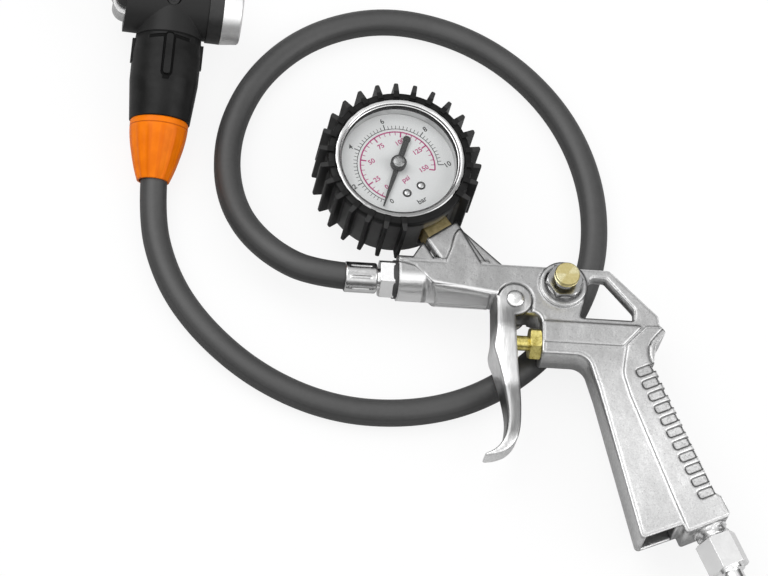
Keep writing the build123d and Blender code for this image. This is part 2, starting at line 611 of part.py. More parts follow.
def outlet_nipple():
    nipple = on_barrel(BARREL_NOSE_X + NIPPLE_THREAD_L, rod(NIPPLE_THREAD_R, NIPPLE_THREAD_L + WASHER_L))
    nipple += on_barrel(NIPPLE_X, Rotation(0, 0, 30) * hexagon(NIPPLE_HEX, NIPPLE_HEX_L))
    nipple += on_barrel(NIPPLE_X - NIPPLE_HEX_L, rod(NIPPLE_NECK_R, FERRULE_NECK_L + FERRULE_INSET))
    nipple += on_barrel(HOSE_START_X, barbs(BARB_L, 4))
    return nipple - on_barrel(BARREL_NOSE_X + NIPPLE_THREAD_L + 1, rod(NIPPLE_BORE_R, 60))


def outlet_washer():
    return on_barrel(BARREL_NOSE_X, ring(WASHER_R, NIPPLE_THREAD_R + SLIP_FIT, WASHER_L))


def hose_ferrule():
    inner, neck = HOSE_R + SLIP_FIT, NIPPLE_NECK_R + SLIP_FIT
    shell = turned((inner, FERRULE_INSET), (neck, FERRULE_INSET), (neck, 0), (FERRULE_R - 0.9, 0),
                   (FERRULE_R, 1.2), (FERRULE_R, FERRULE_L - 0.4), (FERRULE_R - 0.4, FERRULE_L),
                   (inner, FERRULE_L))
    return on_barrel(FERRULE_END_X, shell)


# ------------------------------------------------------------------ gauge
def on_gauge(z, piece):
    return Pos(GAUGE_X, GAUGE_Y, z) * piece


LENS_Z = BEZEL_FRONT_Z - 1.2 - LENS_T
GASKET_T = 1.0


def gauge_boot():
    inner = CASE_R + SLIP_FIT
    seat_r, seat_z = BEZEL_R + SLIP_FIT, BEZEL_FRONT_Z - BEZEL_H
    boot = turned((BOOT_HOLE_R, BOOT_BACK_Z), (BOOT_R - 2, BOOT_BACK_Z), (BOOT_R, BOOT_BACK_Z + 2),
                  (BOOT_R, BOOT_FRONT_Z - 5.5), (BOOT_LIP_R, BOOT_FRONT_Z - 4.5),
                  (BOOT_LIP_R, BOOT_FRONT_Z - 1), (BOOT_LIP_R - 1, BOOT_FRONT_Z),
                  (seat_r, BOOT_FRONT_Z), (seat_r, seat_z), (inner, seat_z),
                  (inner, CASE_BACK_Z), (BOOT_HOLE_R, CASE_BACK_Z))
    height = BOOT_FRONT_Z - BOOT_BACK_Z - 1.0
    for index in range(BOOT_RIBS):
        angle = RIB_FIRST + index * 360 / BOOT_RIBS
        if abs((angle - STEM_DOWN_ANGLE + 180) % 360 - 180) < RIB_FREE_ANGLE:
            continue
        rib = Pos(BOOT_R - 1.4, 0, BOOT_BACK_Z) * Box(
            BOOT_RIB_R - BOOT_R + 1.4, RIB_T, height, align=(Align.MIN, Align.CENTER, Align.MIN))
        boot += Rotation(0, 0, angle) * rib
    boot = on_gauge(0, boot)
    # mouth for the stem, and room for the tower's end between the ribs
    mouth_from = BOOT_RIB_R + 3
    mouth_w = SOCKET_W + 2 * BOOT_MOUTH_GAP
    boot -= stem_plane(mouth_from) * bar(mouth_w, mouth_w, mouth_from - CASE_R + 5)
    tower_w, tower_t = TOWER_W + 2 * WEB_W + 2 * AIR_GAP, 2 * (TOWER_HALF + AIR_GAP)
    return boot - stem_plane(mouth_from) * bar(tower_w, tower_t, mouth_from - TOWER_REACH + AIR_GAP)


def gauge_case():
    inner = CASE_R - CASE_WALL
    rim_z = LENS_Z - GASKET_T
    case = on_gauge(0, turned((0, CASE_BACK_Z), (CASE_R, CASE_BACK_Z), (CASE_R, rim_z), (inner, rim_z),
                              (inner, CASE_BACK_Z + CASE_WALL), (0, CASE_BACK_Z + CASE_WALL)))
    neck = stem_plane(CASE_R + 5) * rod(SOCKET_THREAD_R + SLIP_FIT, 10)
    return case - neck


def gauge_bezel():
    low = BEZEL_FRONT_Z - BEZEL_H
    top = BEZEL_FRONT_Z
    lens_top = LENS_Z + LENS_T
    return on_gauge(0, turned(
        (CASE_R + SLIP_FIT, low), (BEZEL_R - 0.3, low), (BEZEL_R, low + 0.5), (BEZEL_R, top - 1.4),
        (BEZEL_R - 0.5, top - 0.4), (BEZEL_R - 1.3, top), (BEZEL_OPENING_R + 0.9, top),
        (BEZEL_OPENING_R + 0.4, top - 0.5),
        (BEZEL_OPENING_R, top - 0.9), (BEZEL_OPENING_R - 1.0, top - 1.0), (BEZEL_OPENING_R - 1.0, lens_top),
        (CASE_R + SLIP_FIT, lens_top)))


def gauge_lens():
    return on_gauge(LENS_Z, rod(CASE_R - 0.1, LENS_T))


def lens_gasket():
    return on_gauge(LENS_Z - GASKET_T, ring(CASE_R - 0.1, CASE_R - 1.6, GASKET_T))


SCREW_PLACES = [polar(15.2, -41), polar(15.2, -72)]     # low on the dial's right


def gauge_dial():
    dial = rod(DIAL_R, DIAL_T) - rod(SHAFT_R + AIR_GAP, 5)
    for x, y in SCREW_PLACES:
        dial -= Pos(x, y, 0) * rod(SCREW_R + SLIP_FIT, 5)
    return on_gauge(DIAL_Z - DIAL_T, dial)


PLATE_TOP_Z = DIAL_Z - DIAL_T          # dial lies on the movement's front plate
LOWER_PLATE_Z = PLATE_TOP_Z - 2 * PLATE_T - PLATE_GAP


def dial_screws():
    screws = []
    depth = DIAL_T + PLATE_T
    for x, y in SCREW_PLACES:
        screw = Pos(x, y, 0) * rod(SCREW_HEAD_R, 0.9) + Pos(x, y, -depth) * rod(SCREW_R, depth)
        screws.append(on_gauge(DIAL_Z, screw - Pos(x, y, 0.5) * Box(5, 0.6, 1)))
    return Compound(children=screws)


SECTOR_SPACING = SECTOR_R + PINION_R + 0.25
TUBE_START_ANGLE = STEM_DOWN_ANGLE + degrees(asin(BLOCK_W / 2 / (BOURDON_R - BOURDON_HALF_T)))
SECTOR_WAY = 120.0      # direction from the pinion to the sector's arbor
SECTOR_PLACE = polar(SECTOR_SPACING, SECTOR_WAY)


def movement_frame():
    lean = Rotation(0, 0, SECTOR_WAY + 180)
    outline = lean * RectangleRounded(FRAME_L, FRAME_W, 5)
    frame = Pos(0, 0, PLATE_TOP_Z - PLATE_T) * extrude(outline, amount=PLATE_T)
    frame += Pos(0, 0, LOWER_PLATE_Z) * extrude(outline, amount=PLATE_T)
    far_pillar = (lean * Pos(4 - FRAME_L / 2, FRAME_W / 2 - 3, 0)).position
    for x, y in [*SCREW_PLACES, (far_pillar.X, far_pillar.Y)]:
        frame += Pos(x, y, LOWER_PLATE_Z) * rod(PILLAR_R, PLATE_TOP_Z - LOWER_PLATE_Z)
    for x, y in [(0, 0), SECTOR_PLACE]:
        frame -= Pos(x, y, LOWER_PLATE_Z - 1) * rod(SHAFT_R + RUN_FIT, 20)
    for x, y in SCREW_PLACES:
        frame -= Pos(x, y, PLATE_TOP_Z - PLATE_T) * rod(SCREW_R + SLIP_FIT, 3)
    return on_gauge(0, frame)


GEAR_Z = LOWER_PLATE_Z + PLATE_T + 2.0
SECTOR_Z = GEAR_Z + 0.7


def pinion_shaft():
    shaft = Pos(0, 0, LOWER_PLATE_Z) * rod(SHAFT_R, DIAL_Z + 1.2 - LOWER_PLATE_Z)
    gear = rod(PINION_R, 3.0)
    for index in range(PINION_TEETH):
        gear -= Rotation(0, 0, index * 360 / PINION_TEETH) * Pos(PINION_R, 0, 0) * rod(0.25, 3.0)
    return on_gauge(0, shaft + Pos(0, 0, GEAR_Z) * gear)


def sector_gear():
    """Toothed sector on its arbor, with a tail for the link; it turns against the pointer's way."""
    towards = SECTOR_WAY + 180
    first, last = towards - SECTOR_SWING - 4, towards + 4
    corners = [(0, 0), polar(2 * SECTOR_R, first), polar(2 * SECTOR_R, last)]
    sector = rod(SECTOR_R, SECTOR_T) & extrude(make_face(Polyline(*corners, close=True)), amount=SECTOR_T)
    sector += rod(SECTOR_HUB_R, SECTOR_T)
    tooth_step = 360 * PINION_R / SECTOR_R / PINION_TEETH
    notches = []
    for index in range(int((last - first) / tooth_step)):
        turn = Rotation(0, 0, first + 2 + index * tooth_step)
        notches.append(turn * Pos(SECTOR_R, 0, 0) * rod(0.25, SECTOR_T))
    sector -= notches
    sector += Rotation(0, 0, SECTOR_WAY + 90) * Box(
        TAIL_L + 1.2, 2.6, SECTOR_T, align=(Align.MIN, Align.CENTER, Align.MIN))
    arbor = Pos(0, 0, LOWER_PLATE_Z) * rod(SHAFT_R, PLATE_TOP_Z - LOWER_PLATE_Z)
    return on_gauge(0, Pos(*SECTOR_PLACE, 0) * (Pos(0, 0, SECTOR_Z) * sector + arbor))


def gauge_pointer():
    """At rest the long tip points at zero, low on the left."""
    blade = make_face(Polyline((-1.5, TAIL_REACH), (-1.5, 0), (-0.35, -TIP_REACH), (0.35, -TIP_REACH),
                               (1.5, 0), (1.5, TAIL_REACH), close=True))
    tail = Pos(0, TAIL_REACH) * Circle(1.9)
    pointer = extrude(blade + tail + Circle(HUB_R), amount=0.5)
    pointer = Pos(0, 0, DIAL_Z + 1.2) * pointer + Pos(0, 0, DIAL_Z + 1.2) * turned(
        (0, 0), (HUB_R, 0), (HUB_R, 1.3), (HUB_R - 0.6, 2.0), (0, 2.3))
    return on_gauge(0, Rotation(0, 0, POINTER_REST) * pointer)


def gauge_socket():
    square_start = TOWER_REACH
    socket = square_on_stem(SOCKET_W, square_start, CASE_R + SOCKET_GAP)
    thread_start = square_start + SOCKET_THREAD_L
    socket += stem_plane(thread_start) * rod(SOCKET_THREAD_R, SOCKET_THREAD_L)
    socket += stem_plane(CASE_R + SOCKET_GAP) * rod(SOCKET_THREAD_R, 5)
    block_end = CASE_R - CASE_WALL - 1.0
    block = stem_plane(block_end) * bar(BLOCK_W, BLOCK_H, block_end - BLOCK_REACH)
    socket += Pos(0, 0, LOWER_PLATE_Z - BLOCK_H / 2) * block
    return socket - stem_plane(thread_start + 1) * rod(SOCKET_BORE_R, 22)


def bourdon_tube():
    """Flattened C-shaped tube, brazed to the side of the socket's block."""
    section = Plane.XZ * Pos(BOURDON_R, 0) * Ellipse(BOURDON_HALF_T, BOURDON_HALF_W)
    tube = Rotation(0, 0, TUBE_START_ANGLE) * revolve(section, Axis.Z, BOURDON_SPAN)
    return on_gauge(BOURDON_Z, tube)


def sector_link():
    """Flat link from the tube's end to the sector's tail."""
    tube_end = Vector(*polar(BOURDON_R, TUBE_START_ANGLE + BOURDON_SPAN - 4))
    tail = polar(TAIL_L, SECTOR_WAY + 90)
    tail_end = Vector(SECTOR_PLACE[0] + tail[0], SECTOR_PLACE[1] + tail[1])
    middle, way = (tube_end + tail_end) / 2, tail_end - tube_end
    turn = degrees(atan2(way.Y, way.X))
    link_z = SECTOR_Z + SECTOR_T + RUN_FIT
    link = Pos(middle.X, middle.Y, link_z) * Rotation(0, 0, turn) * extrude(
        SlotOverall(way.length + 2.4, 2.4), amount=0.8)
    post_z = BOURDON_Z + BOURDON_HALF_W
    link += Pos(tube_end.X, tube_end.Y, post_z) * rod(0.8, link_z - post_z)
    return on_gauge(0, link)


# ------------------------------------------------------------------ chuck, in its own frame
# x along the nozzle, y along the handle towards the head, z up; 0, 0, 0 is the middle of the head
RIM_Y = -CHUCK_LEN + COLLAR_L
HOSE_STOP_Y = RIM_Y - SPIGOT_L


def on_handle(y, piece):
    """Put a piece made along +Z on the handle's axis, from y towards the hose."""
    return along((0, y, 0), (0, -1, 0), piece)


def on_nozzle(x, piece):
    return along((x, 0, 0), (1, 0, 0), piece)


CAM_OFFSET = PLUNGER_TRAVEL / sin(radians(LEVER_SWING))
DEPRESSOR_SEAT = 8.0    # seat in the plunger, from its rear


def chuck_body():
    seam_y = -17.0
    handle = turned((0, 0), (HANDLE_R - 2.4, 0), (HANDLE_R - 0.8, -seam_y), (HANDLE_R, -seam_y + 9),
                    (HANDLE_R - 0.1, -seam_y + 23), (COLLAR_RIM_R + 0.4, -RIM_Y - 0.3),
                    (COLLAR_RIM_R - 0.2, -RIM_Y), (SPIGOT_R, -RIM_Y), (SPIGOT_R, -HOSE_STOP_Y),
                    (0, -HOSE_STOP_Y))
    body = on_handle(0, handle)
    rib_height = 2 * (HANDLE_R + HANDLE_RIB_H)
    body += Pos(0, HANDLE_RIB_Y, -rib_height / 2) * extrude(
        Rotation(0, 0, 90) * SlotOverall(HANDLE_RIB_L, HANDLE_RIB_W), amount=rib_height)
    body += Pos(0, HANDLE_RIB_Y + (HANDLE_RIB_L - SIDE_RIB_L) / 2, 0) * Box(
        2 * (HANDLE_R + SIDE_RIB_H), SIDE_RIB_L, HANDLE_RIB_W)
    body += on_nozzle(HEAD_BACK_X, rod(HEAD_R, HEAD_FRONT_X - HEAD_BACK_X))
    # two cheeks for the lever's pin, and the slot between them, open to the back and the top
    cheek_z = LEVER_HALF + AIR_GAP
    for z in (cheek_z, -cheek_z - CHEEK_T):
        body += Pos(LEVER_PIN_X, 0, z) * rod(CHEEK_R, CHEEK_T)
    slot_low, slot_depth = -LEVER_HUB_R - CAM_OFFSET - AIR_GAP - 0.7, 60
    body -= Pos(SLOT_FLOOR_X, slot_low, 0) * Box(
        slot_depth, slot_depth, 2 * cheek_z, align=(Align.MAX, Align.MIN, Align.CENTER))
    body -= Pos(LEVER_PIN_X, 0, 0) * Cylinder(LEVER_PIN_R + SLIP_FIT, 60)
    # plunger bore, spigot for the sleeve, air passage, screw pocket
    body -= on_nozzle(HEAD_BACK_X - 1, rod(PLUNGER_R + RUN_FIT, 60))
    body -= on_handle(0, rod(PASSAGE_R, CHUCK_LEN))
    body -= on_handle(HOSE_STOP_Y + TAIL_SHANK_L + 1, rod(TAIL_SHANK_R + SLIP_FIT, 30))
    body -= Pos(0, 0, RECESS_Z) * rod(RECESS_R, 10)
    return body


def head_screw():
    key_hole = extrude(RegularPolygon(1.5, 6), amount=1.5)
    return Pos(0, 0, RECESS_Z) * (rod(SCREW_CAP_R, 1.8) - Pos(0, 0, 0.9) * key_hole)


def nozzle_sleeve():
    return on_nozzle(HEAD_FRONT_X, ring(SLEEVE_R, SEAL_R + 0.8, SLEEVE_L))


def nozzle_ring():
    return on_nozzle(HEAD_FRONT_X + SLEEVE_L, turned(
        (SEAL_R + SLIP_FIT, 0), (SLEEVE_R, 0), (NOZZLE_TIP_R, NOZZLE_L - 0.8),
        (NOZZLE_TIP_R - 0.8, NOZZLE_L),
        (SEAL_R - 2.5, NOZZLE_L), (SEAL_R - 2.5, NOZZLE_L - 1.4), (SEAL_R + SLIP_FIT, NOZZLE_L - 1.4)))


SEAL_L = NOZZLE_L - 1.4


def nozzle_seal():
    return on_nozzle(HEAD_FRONT_X + SLEEVE_L, ring(SEAL_R, SEAL_BORE_R, SEAL_L))


def chuck_plunger():
    x = PLUNGER_REAR_X
    lip_x = PLUNGER_FRONT_X - PLUNGER_LIP
    plunger = on_nozzle(x, rod(PLUNGER_R, lip_x - x))
    plunger += on_nozzle(lip_x, rod(PLUNGER_R + PLUNGER_LIP, PLUNGER_LIP))
    plunger -= on_nozzle(x + DEPRESSOR_SEAT, rod(DEPRESSOR_FOOT_R + SLIP_FIT, PLUNGER_FRONT_X - x))
    # slot that lets the air in from the handle at any place in the stroke
    return plunger - Pos(0, -PLUNGER_R, 0) * Box(16, 2 * PLUNGER_R, 5)


def valve_depressor():
    foot_x = PLUNGER_REAR_X + DEPRESSOR_SEAT
    return on_nozzle(foot_x, rod(DEPRESSOR_FOOT_R, 3)) + on_nozzle(foot_x + 3, rod(DEPRESSOR_R, DEPRESSOR_L))


def chuck_lever():
    lean = Rotation(0, 0, LEVER_LEAN)
    lever = Pos(0, -CAM_OFFSET, 0) * Cylinder(LEVER_HUB_R, 2 * LEVER_HALF)
    arm = FilletPolyline((-5.6, 0), (-6.2, 12), (-3.6, LEVER_L), (1.4, LEVER_L), (-0.6, 12), (0, 0),
                         radius=[4, 1.8, 1.8, 4], close=False)
    face = make_face(Wire([*arm.edges(), Line((0, 0), (-5.6, 0))]))
    arm_solid = fillet(extrude(face, amount=LEVER_HALF, both=True).edges().filter_by(
        lambda e: e.center().Y > 14 and abs(e.center().Z) > LEVER_HALF - 0.1), 1.0)
    lever += lean * arm_solid
    lever = lever - Cylinder(LEVER_PIN_R + RUN_FIT, 60)
    return Pos(LEVER_PIN_X, 0, 0) * lever


def lever_pin():
    return Pos(LEVER_PIN_X, 0, 0) * Cylinder(LEVER_PIN_R, 2 * (LEVER_HALF + AIR_GAP + CHEEK_T))


def chuck_collar():
    return on_handle(RIM_Y, turned(
        (SPIGOT_R + SLIP_FIT, 0), (COLLAR_RIM_R - 0.2, 0), (COLLAR_RIM_R, 0.4), (COLLAR_RIM_R - 0.6, 8),
        (COLLAR_RIM_R - 2.3, 16), (COLLAR_END_R + 2.2, 24), (COLLAR_END_R, COLLAR_L),
        (HOSE_R + SLIP_FIT, COLLAR_L), (HOSE_R + SLIP_FIT, SPIGOT_L + 1), (SPIGOT_R + SLIP_FIT, SPIGOT_L)))


def chuck_barb():
    tail = on_handle(HOSE_STOP_Y, barbs(15, 4))
    tail += on_handle(HOSE_STOP_Y + TAIL_SHANK_L, rod(TAIL_SHANK_R, TAIL_SHANK_L))
    return tail - on_handle(HOSE_STOP_Y + TAIL_SHANK_L + 1, rod(NIPPLE_BORE_R, 40))


# ------------------------------------------------------------------ hose
# Route in the gun's X and Y, with the height above the surface: out of the ferrule, down to the surface,
# once round the gauge, under the gun and along to the chuck.  The first and last points are worked out.
HOSE_ROUTE = [
    (-96, BARREL_Y, MID_HEIGHT), (-118, 23, 22), (-133.5, 44, 15), (-139.5, 71, 8.8), (-136.5, 100, HOSE_R),
    (-122.5, 129, HOSE_R), (-97, 152, HOSE_R), (-62, 163.5, HOSE_R), (-26, 158, HOSE_R), (5, 141, HOSE_R),
    (30, 113, HOSE_R), (44, 77, HOSE_R), (45, 38, HOSE_R), (33, 4, HOSE_R), (12, -23, HOSE_R),
    (-17, -43, HOSE_R), (-50, -52, HOSE_R), (-86, -51, HOSE_R), (-121, -37, HOSE_R), (-149.5, -13, HOSE_R),
    (-167.5, 14, HOSE_R)]


def bend_radii(points):
    """Largest arcs that the runs beside each corner leave room for."""
    radii = []
    for before, corner, after in zip(points, points[1:], points[2:]):
        run_in, run_out = Vector(*corner) - Vector(*before), Vector(*after) - Vector(*corner)
        half_turn = radians(run_in.get_angle(run_out)) / 2
        radii.append(0.45 * min(run_in.length, run_out.length) / tan(half_turn))
    return radii


def hose(points):
    radii = bend_radii(points)
    print("hose bend radii, mm:", [round(radius) for radius in radii])
    path = FilletPolyline(*points, radius=radii, close=False)
    start = Plane(origin=path @ 0, z_dir=path % 0)
    tube = sweep(start * (Circle(HOSE_R) - Circle(HOSE_BORE_R)), path=path)
    wall_area = pi * (HOSE_R ** 2 - HOSE_BORE_R ** 2)
    print("hose length, mm:", round(path.length, 1), "volume over section times length:",
          round(tube.volume / (wall_area * path.length), 4))
    return tube


# ------------------------------------------------------------------ putting it together
gun = Pos(0, 0, MID_HEIGHT)
gun_nodes = {
    "gun_body": gun_body, "trigger": trigger, "trigger_rivet": trigger_rivet, "valve_gland": valve_gland,
    "stem_packing": stem_packing, "valve_stem": valve_stem, "poppet_washer": poppet_washer,
    "valve_seat": valve_seat, "valve_spring": valve_spring, "bleed_nut": bleed_nut,
    "bleed_button": bleed_button, "bleed_washer": bleed_washer, "bleed_spring": bleed_spring,
    "inlet_adapter": inlet_adapter, "inlet_plug": inlet_plug, "outlet_nipple": outlet_nipple,
    "outlet_washer": outlet_washer, "hose_ferrule": hose_ferrule, "gauge_boot": gauge_boot,
    "gauge_case": gauge_case, "gauge_bezel": gauge_bezel, "gauge_lens": gauge_lens,
    "lens_gasket": lens_gasket, "gauge_dial": gauge_dial, "dial_screws": dial_screws,
    "movement_frame": movement_frame, "pinion_shaft": pinion_shaft, "sector_gear": sector_gear,
    "gauge_pointer": gauge_pointer, "gauge_socket": gauge_socket, "bourdon_tube": bourdon_tube,
    "sector_link": sector_link}
chuck_nodes = {
    "chuck_body": chuck_body, "head_screw": head_screw, "nozzle_sleeve": nozzle_sleeve,
    "nozzle_ring": nozzle_ring, "nozzle_seal": nozzle_seal, "chuck_plunger": chuck_plunger,
    "valve_depressor": valve_depressor, "chuck_lever": chuck_lever, "lever_pin": lever_pin,
    "chuck_collar": chuck_collar, "chuck_barb": chuck_barb}


def main():
    os.makedirs("parts", exist_ok=True)
    nodes = {name: gun * make() for name, make in gun_nodes.items()}
    # the chuck is set down until it touches the surface
    chuck_tilt = Pos(CHUCK_X, CHUCK_Y, 0) * Rotation(0, 0, CHUCK_TURN) * Rotation(CHUCK_RISE, 0, 0)
    tilted = {name: chuck_tilt * make() for name, make in chuck_nodes.items()}
    lowest = min(piece.bounding_box().min.Z for piece in tilted.values())
    nodes.update({name: Pos(0, 0, -lowest) * piece for name, piece in tilted.items()})
    chuck = Pos(0, 0, -lowest) * chuck_tilt
    hose_start = (HOSE_START_X, BARREL_Y, MID_HEIGHT)
    hose_stop = (chuck * Pos(0, HOSE_STOP_Y, 0)).position
    collar_mouth = (chuck * Pos(0, -CHUCK_LEN, 0)).position
    lead = (collar_mouth.Z - HOSE_R) / sin(radians(CHUCK_RISE))
    landing = (chuck * Pos(0, -CHUCK_LEN - lead, 0)).position
    # centre of the bottom of everything but the hose
    boxes = [piece.bounding_box() for piece in nodes.values()]
    left, right = min(box.min.X for box in boxes), max(box.max.X for box in boxes)
    front, back = min(box.min.Y for box in boxes), max(box.max.Y for box in boxes)
    shift = Pos(-(left + right) / 2, -(front + back) / 2, 0)
    nodes["hose"] = hose([hose_start, *HOSE_ROUTE, tuple(landing), tuple(hose_stop)])
    for name, piece in nodes.items():
        export_step(shift * piece, f"parts/{name}.step")
    print("gun frame's origin in the model, mm:", shift.position, "mid-plane height:", MID_HEIGHT)
    print("chuck head, mm:", (shift * chuck).position, "hose landing:", (shift * Pos(*landing)).position,
          "stop:", (shift * Pos(*hose_stop)).position)


main()
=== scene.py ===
import json
from math import atan2, cos, degrees, radians, sin

import bmesh
import bpy
from mathutils import Euler, Matrix, Vector


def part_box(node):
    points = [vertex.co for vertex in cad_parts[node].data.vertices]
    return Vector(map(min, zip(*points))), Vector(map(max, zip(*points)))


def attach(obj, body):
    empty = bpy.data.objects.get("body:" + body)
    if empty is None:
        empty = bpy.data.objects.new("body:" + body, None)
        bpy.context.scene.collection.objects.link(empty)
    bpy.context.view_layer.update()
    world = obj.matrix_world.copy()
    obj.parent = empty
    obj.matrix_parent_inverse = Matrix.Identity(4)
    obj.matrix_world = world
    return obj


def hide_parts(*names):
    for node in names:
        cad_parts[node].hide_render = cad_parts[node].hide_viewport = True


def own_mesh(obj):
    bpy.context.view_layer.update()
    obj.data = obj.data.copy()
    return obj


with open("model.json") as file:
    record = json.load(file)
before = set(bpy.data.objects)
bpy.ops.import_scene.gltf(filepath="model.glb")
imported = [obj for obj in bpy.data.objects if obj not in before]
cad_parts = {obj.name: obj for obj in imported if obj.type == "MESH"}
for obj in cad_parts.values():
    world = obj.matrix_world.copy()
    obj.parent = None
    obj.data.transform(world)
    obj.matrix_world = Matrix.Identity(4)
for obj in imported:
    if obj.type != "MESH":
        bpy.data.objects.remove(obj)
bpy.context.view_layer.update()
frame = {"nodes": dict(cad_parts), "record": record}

# Tyre inflator gun with a dial gauge, hose and chuck. Metres; sizes written in millimetres are times MM.
MM = 0.001
scene = bpy.context.scene


# ---------------------------------------------------------------- places
def middle(node):
    """Middle of a node's box."""
    low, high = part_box(node)
    return (low + high) / 2


def turn(angle, axis):
    return Matrix.Rotation(radians(angle), 4, axis)


def shift(x, y, z=0.0):
    return Matrix.Translation((x * MM, y * MM, z * MM))


# Frames of the parts. GUN is at the trigger's pivot: X runs back along the barrel, Y towards the gauge.
GUN = Matrix.Translation(middle("trigger_rivet"))
PIVOT_HEIGHT = 25.0                                     # above the surface that all lies on
GAUGE = GUN @ shift(-57.8, 66.9)                        # gauge's centre; Z out of its glass
STEM_ANGLE = degrees(atan2(-0.817, 0.577))              # from the gauge down its stem
BARREL_Y = 11.3                                         # barrel's axis
BARREL = GUN @ shift(0, BARREL_Y) @ turn(-90, "Y")      # Z forwards along the hose outlet
BLEED = GUN @ shift(23.4, 8.8)                          # Z up through the bleed button
BLEED_NUT = BLEED @ shift(0, 0, 18.3)                   # on the nut under the button
VALVE = GUN @ shift(47.0, -18.5) @ turn(-90, "Y")       # end of the trigger valve's bore; Z to the trigger
GRIP_LEAN = 24.9
PAD_X, PAD_Y, PAD_COUNT, PAD_PITCH = 62.6, -34.4, 11, 6.8     # finger pads down the grip
PAD_W, PAD_L, PAD_ROUND = 4.6, 8.4, 1.6                 # each pad along and across the grip; its corners
INLET = (GUN @ shift(92.0, -111.6) @ turn(GRIP_LEAN, "Z") @ shift(3.0, 0)
         @ turn(90, "X"))                               # Z out of the grip
SEAL_X = 29.05                                          # nozzle seal's middle, from the chuck's
CHUCK_TURN = turn(-3.8, "Z") @ turn(11, "X")
CHUCK = Matrix.Translation(middle("nozzle_seal") - CHUCK_TURN @ Vector((SEAL_X * MM, 0, 0))) @ CHUCK_TURN
HANDLE = CHUCK @ turn(90, "X")                          # Z from the chuck's head to the hose
NOZZLE = CHUCK @ turn(90, "Y")                          # Z out of the nozzle

# Sizes that finishes refer to.
FIN_FRONT = 22.2                        # front ends of the gauge boot's fins, along the gauge's axis
LIP_BACK = 15.9                         # where the boot's wall swells into its lip
FLUTES = 13                             # round the chuck's orange end

# ---------------------------------------------------------------- camera
CAMERA_PLACE = Vector((-0.3426928, -0.9572887, 2.07604))      # from the trigger's pivot
CAMERA_TURN = (24.6787, -7.7711, 0.1975)                      # degrees round X, Y and Z

camera = bpy.data.objects.new("camera", bpy.data.cameras.new("camera"))
scene.collection.objects.link(camera)
camera.location = GUN.translation + CAMERA_PLACE
camera.rotation_euler = Euler([radians(angle) for angle in CAMERA_TURN])
camera.data.lens = 223.2
camera.data.sensor_width = 36.0
camera.data.clip_start, camera.data.clip_end = 0.05, 50
scene.camera = camera

# ---------------------------------------------------------------- hose
HOSE_D = 13.3 * MM
HOSE_ROUTE = [      # gun's X and Y, height above the surface, in millimetres
    (-68.5, BARREL_Y, PIVOT_HEIGHT), (-96, BARREL_Y, PIVOT_HEIGHT), (-118, 23, 22), (-133.5, 44, 15),
    (-139.5, 71, 8.8), (-136.5, 100, 6.65), (-122.5, 129, 6.65), (-97, 152, 6.65), (-62, 163.5, 6.65),
    (-26, 158, 6.65), (5, 141, 6.65), (30, 113, 6.65), (44, 77, 6.65), (45, 38, 6.65), (33, 4, 6.65),
    (12, -23, 6.65), (-17, -43, 6.65), (-50, -52, 6.65), (-86, -51, 6.65), (-121, -37, 6.65),
    (-149.5, -13, 6.65), (-167.5, 14, 6.65), (-175.955, 48.591, 6.65), (-173.797, 81.082, 12.98)]
HOSE_POINTS = [GUN @ Vector((x * MM, y * MM, (z - PIVOT_HEIGHT) * MM)) for x, y, z in HOSE_ROUTE]


def hose():
    """Rubber hose from the outlet's ferrule to the chuck's collar."""
    line = bpy.data.curves.new("rubber_hose", "CURVE")
    line.dimensions = "3D"
    spline = line.splines.new("NURBS")
    spline.points.add(len(HOSE_POINTS) - 1)
    for point, where in zip(spline.points, HOSE_POINTS):
        point.co = (*where, 1)
    spline.order_u = 3
    spline.use_endpoint_u = True
    spline.resolution_u = 12
    line.bevel_depth = HOSE_D / 2
    line.bevel_resolution = 8
    line.use_fill_caps = True
    piece = bpy.data.objects.new("rubber_hose", line)
    scene.collection.objects.link(piece)
    return piece


rubber_hose = hose()


# ---------------------------------------------------------------- lights
def lamp(name, spot, size, watts):
    """Soft light from a sheet that faces the object."""
    light = bpy.data.lights.new(name, "AREA")
    light.shape = "RECTANGLE"
    light.size, light.size_y = size
    light.energy = watts
    piece = bpy.data.objects.new(name, light)
    scene.collection.objects.link(piece)
    piece.location = spot
    piece.rotation_euler = (-Vector(spot)).to_track_quat("-Z", "Y").to_euler()


lamp("softbox_left", (-1.1, 0.6, 1.8), (2.0, 2.0), 30)
lamp("softbox_right", (1.5, -0.3, 1.3), (1.0, 1.6), 13)


# ---------------------------------------------------------------- shader arithmetic
def operator(operation, swapped=False):
    """A method that adds one Math node to a Wire and a second value."""
    if swapped:
        return lambda self, other: self.math(operation, other, self)
    return lambda self, other=0.0: self.math(operation, self, other)


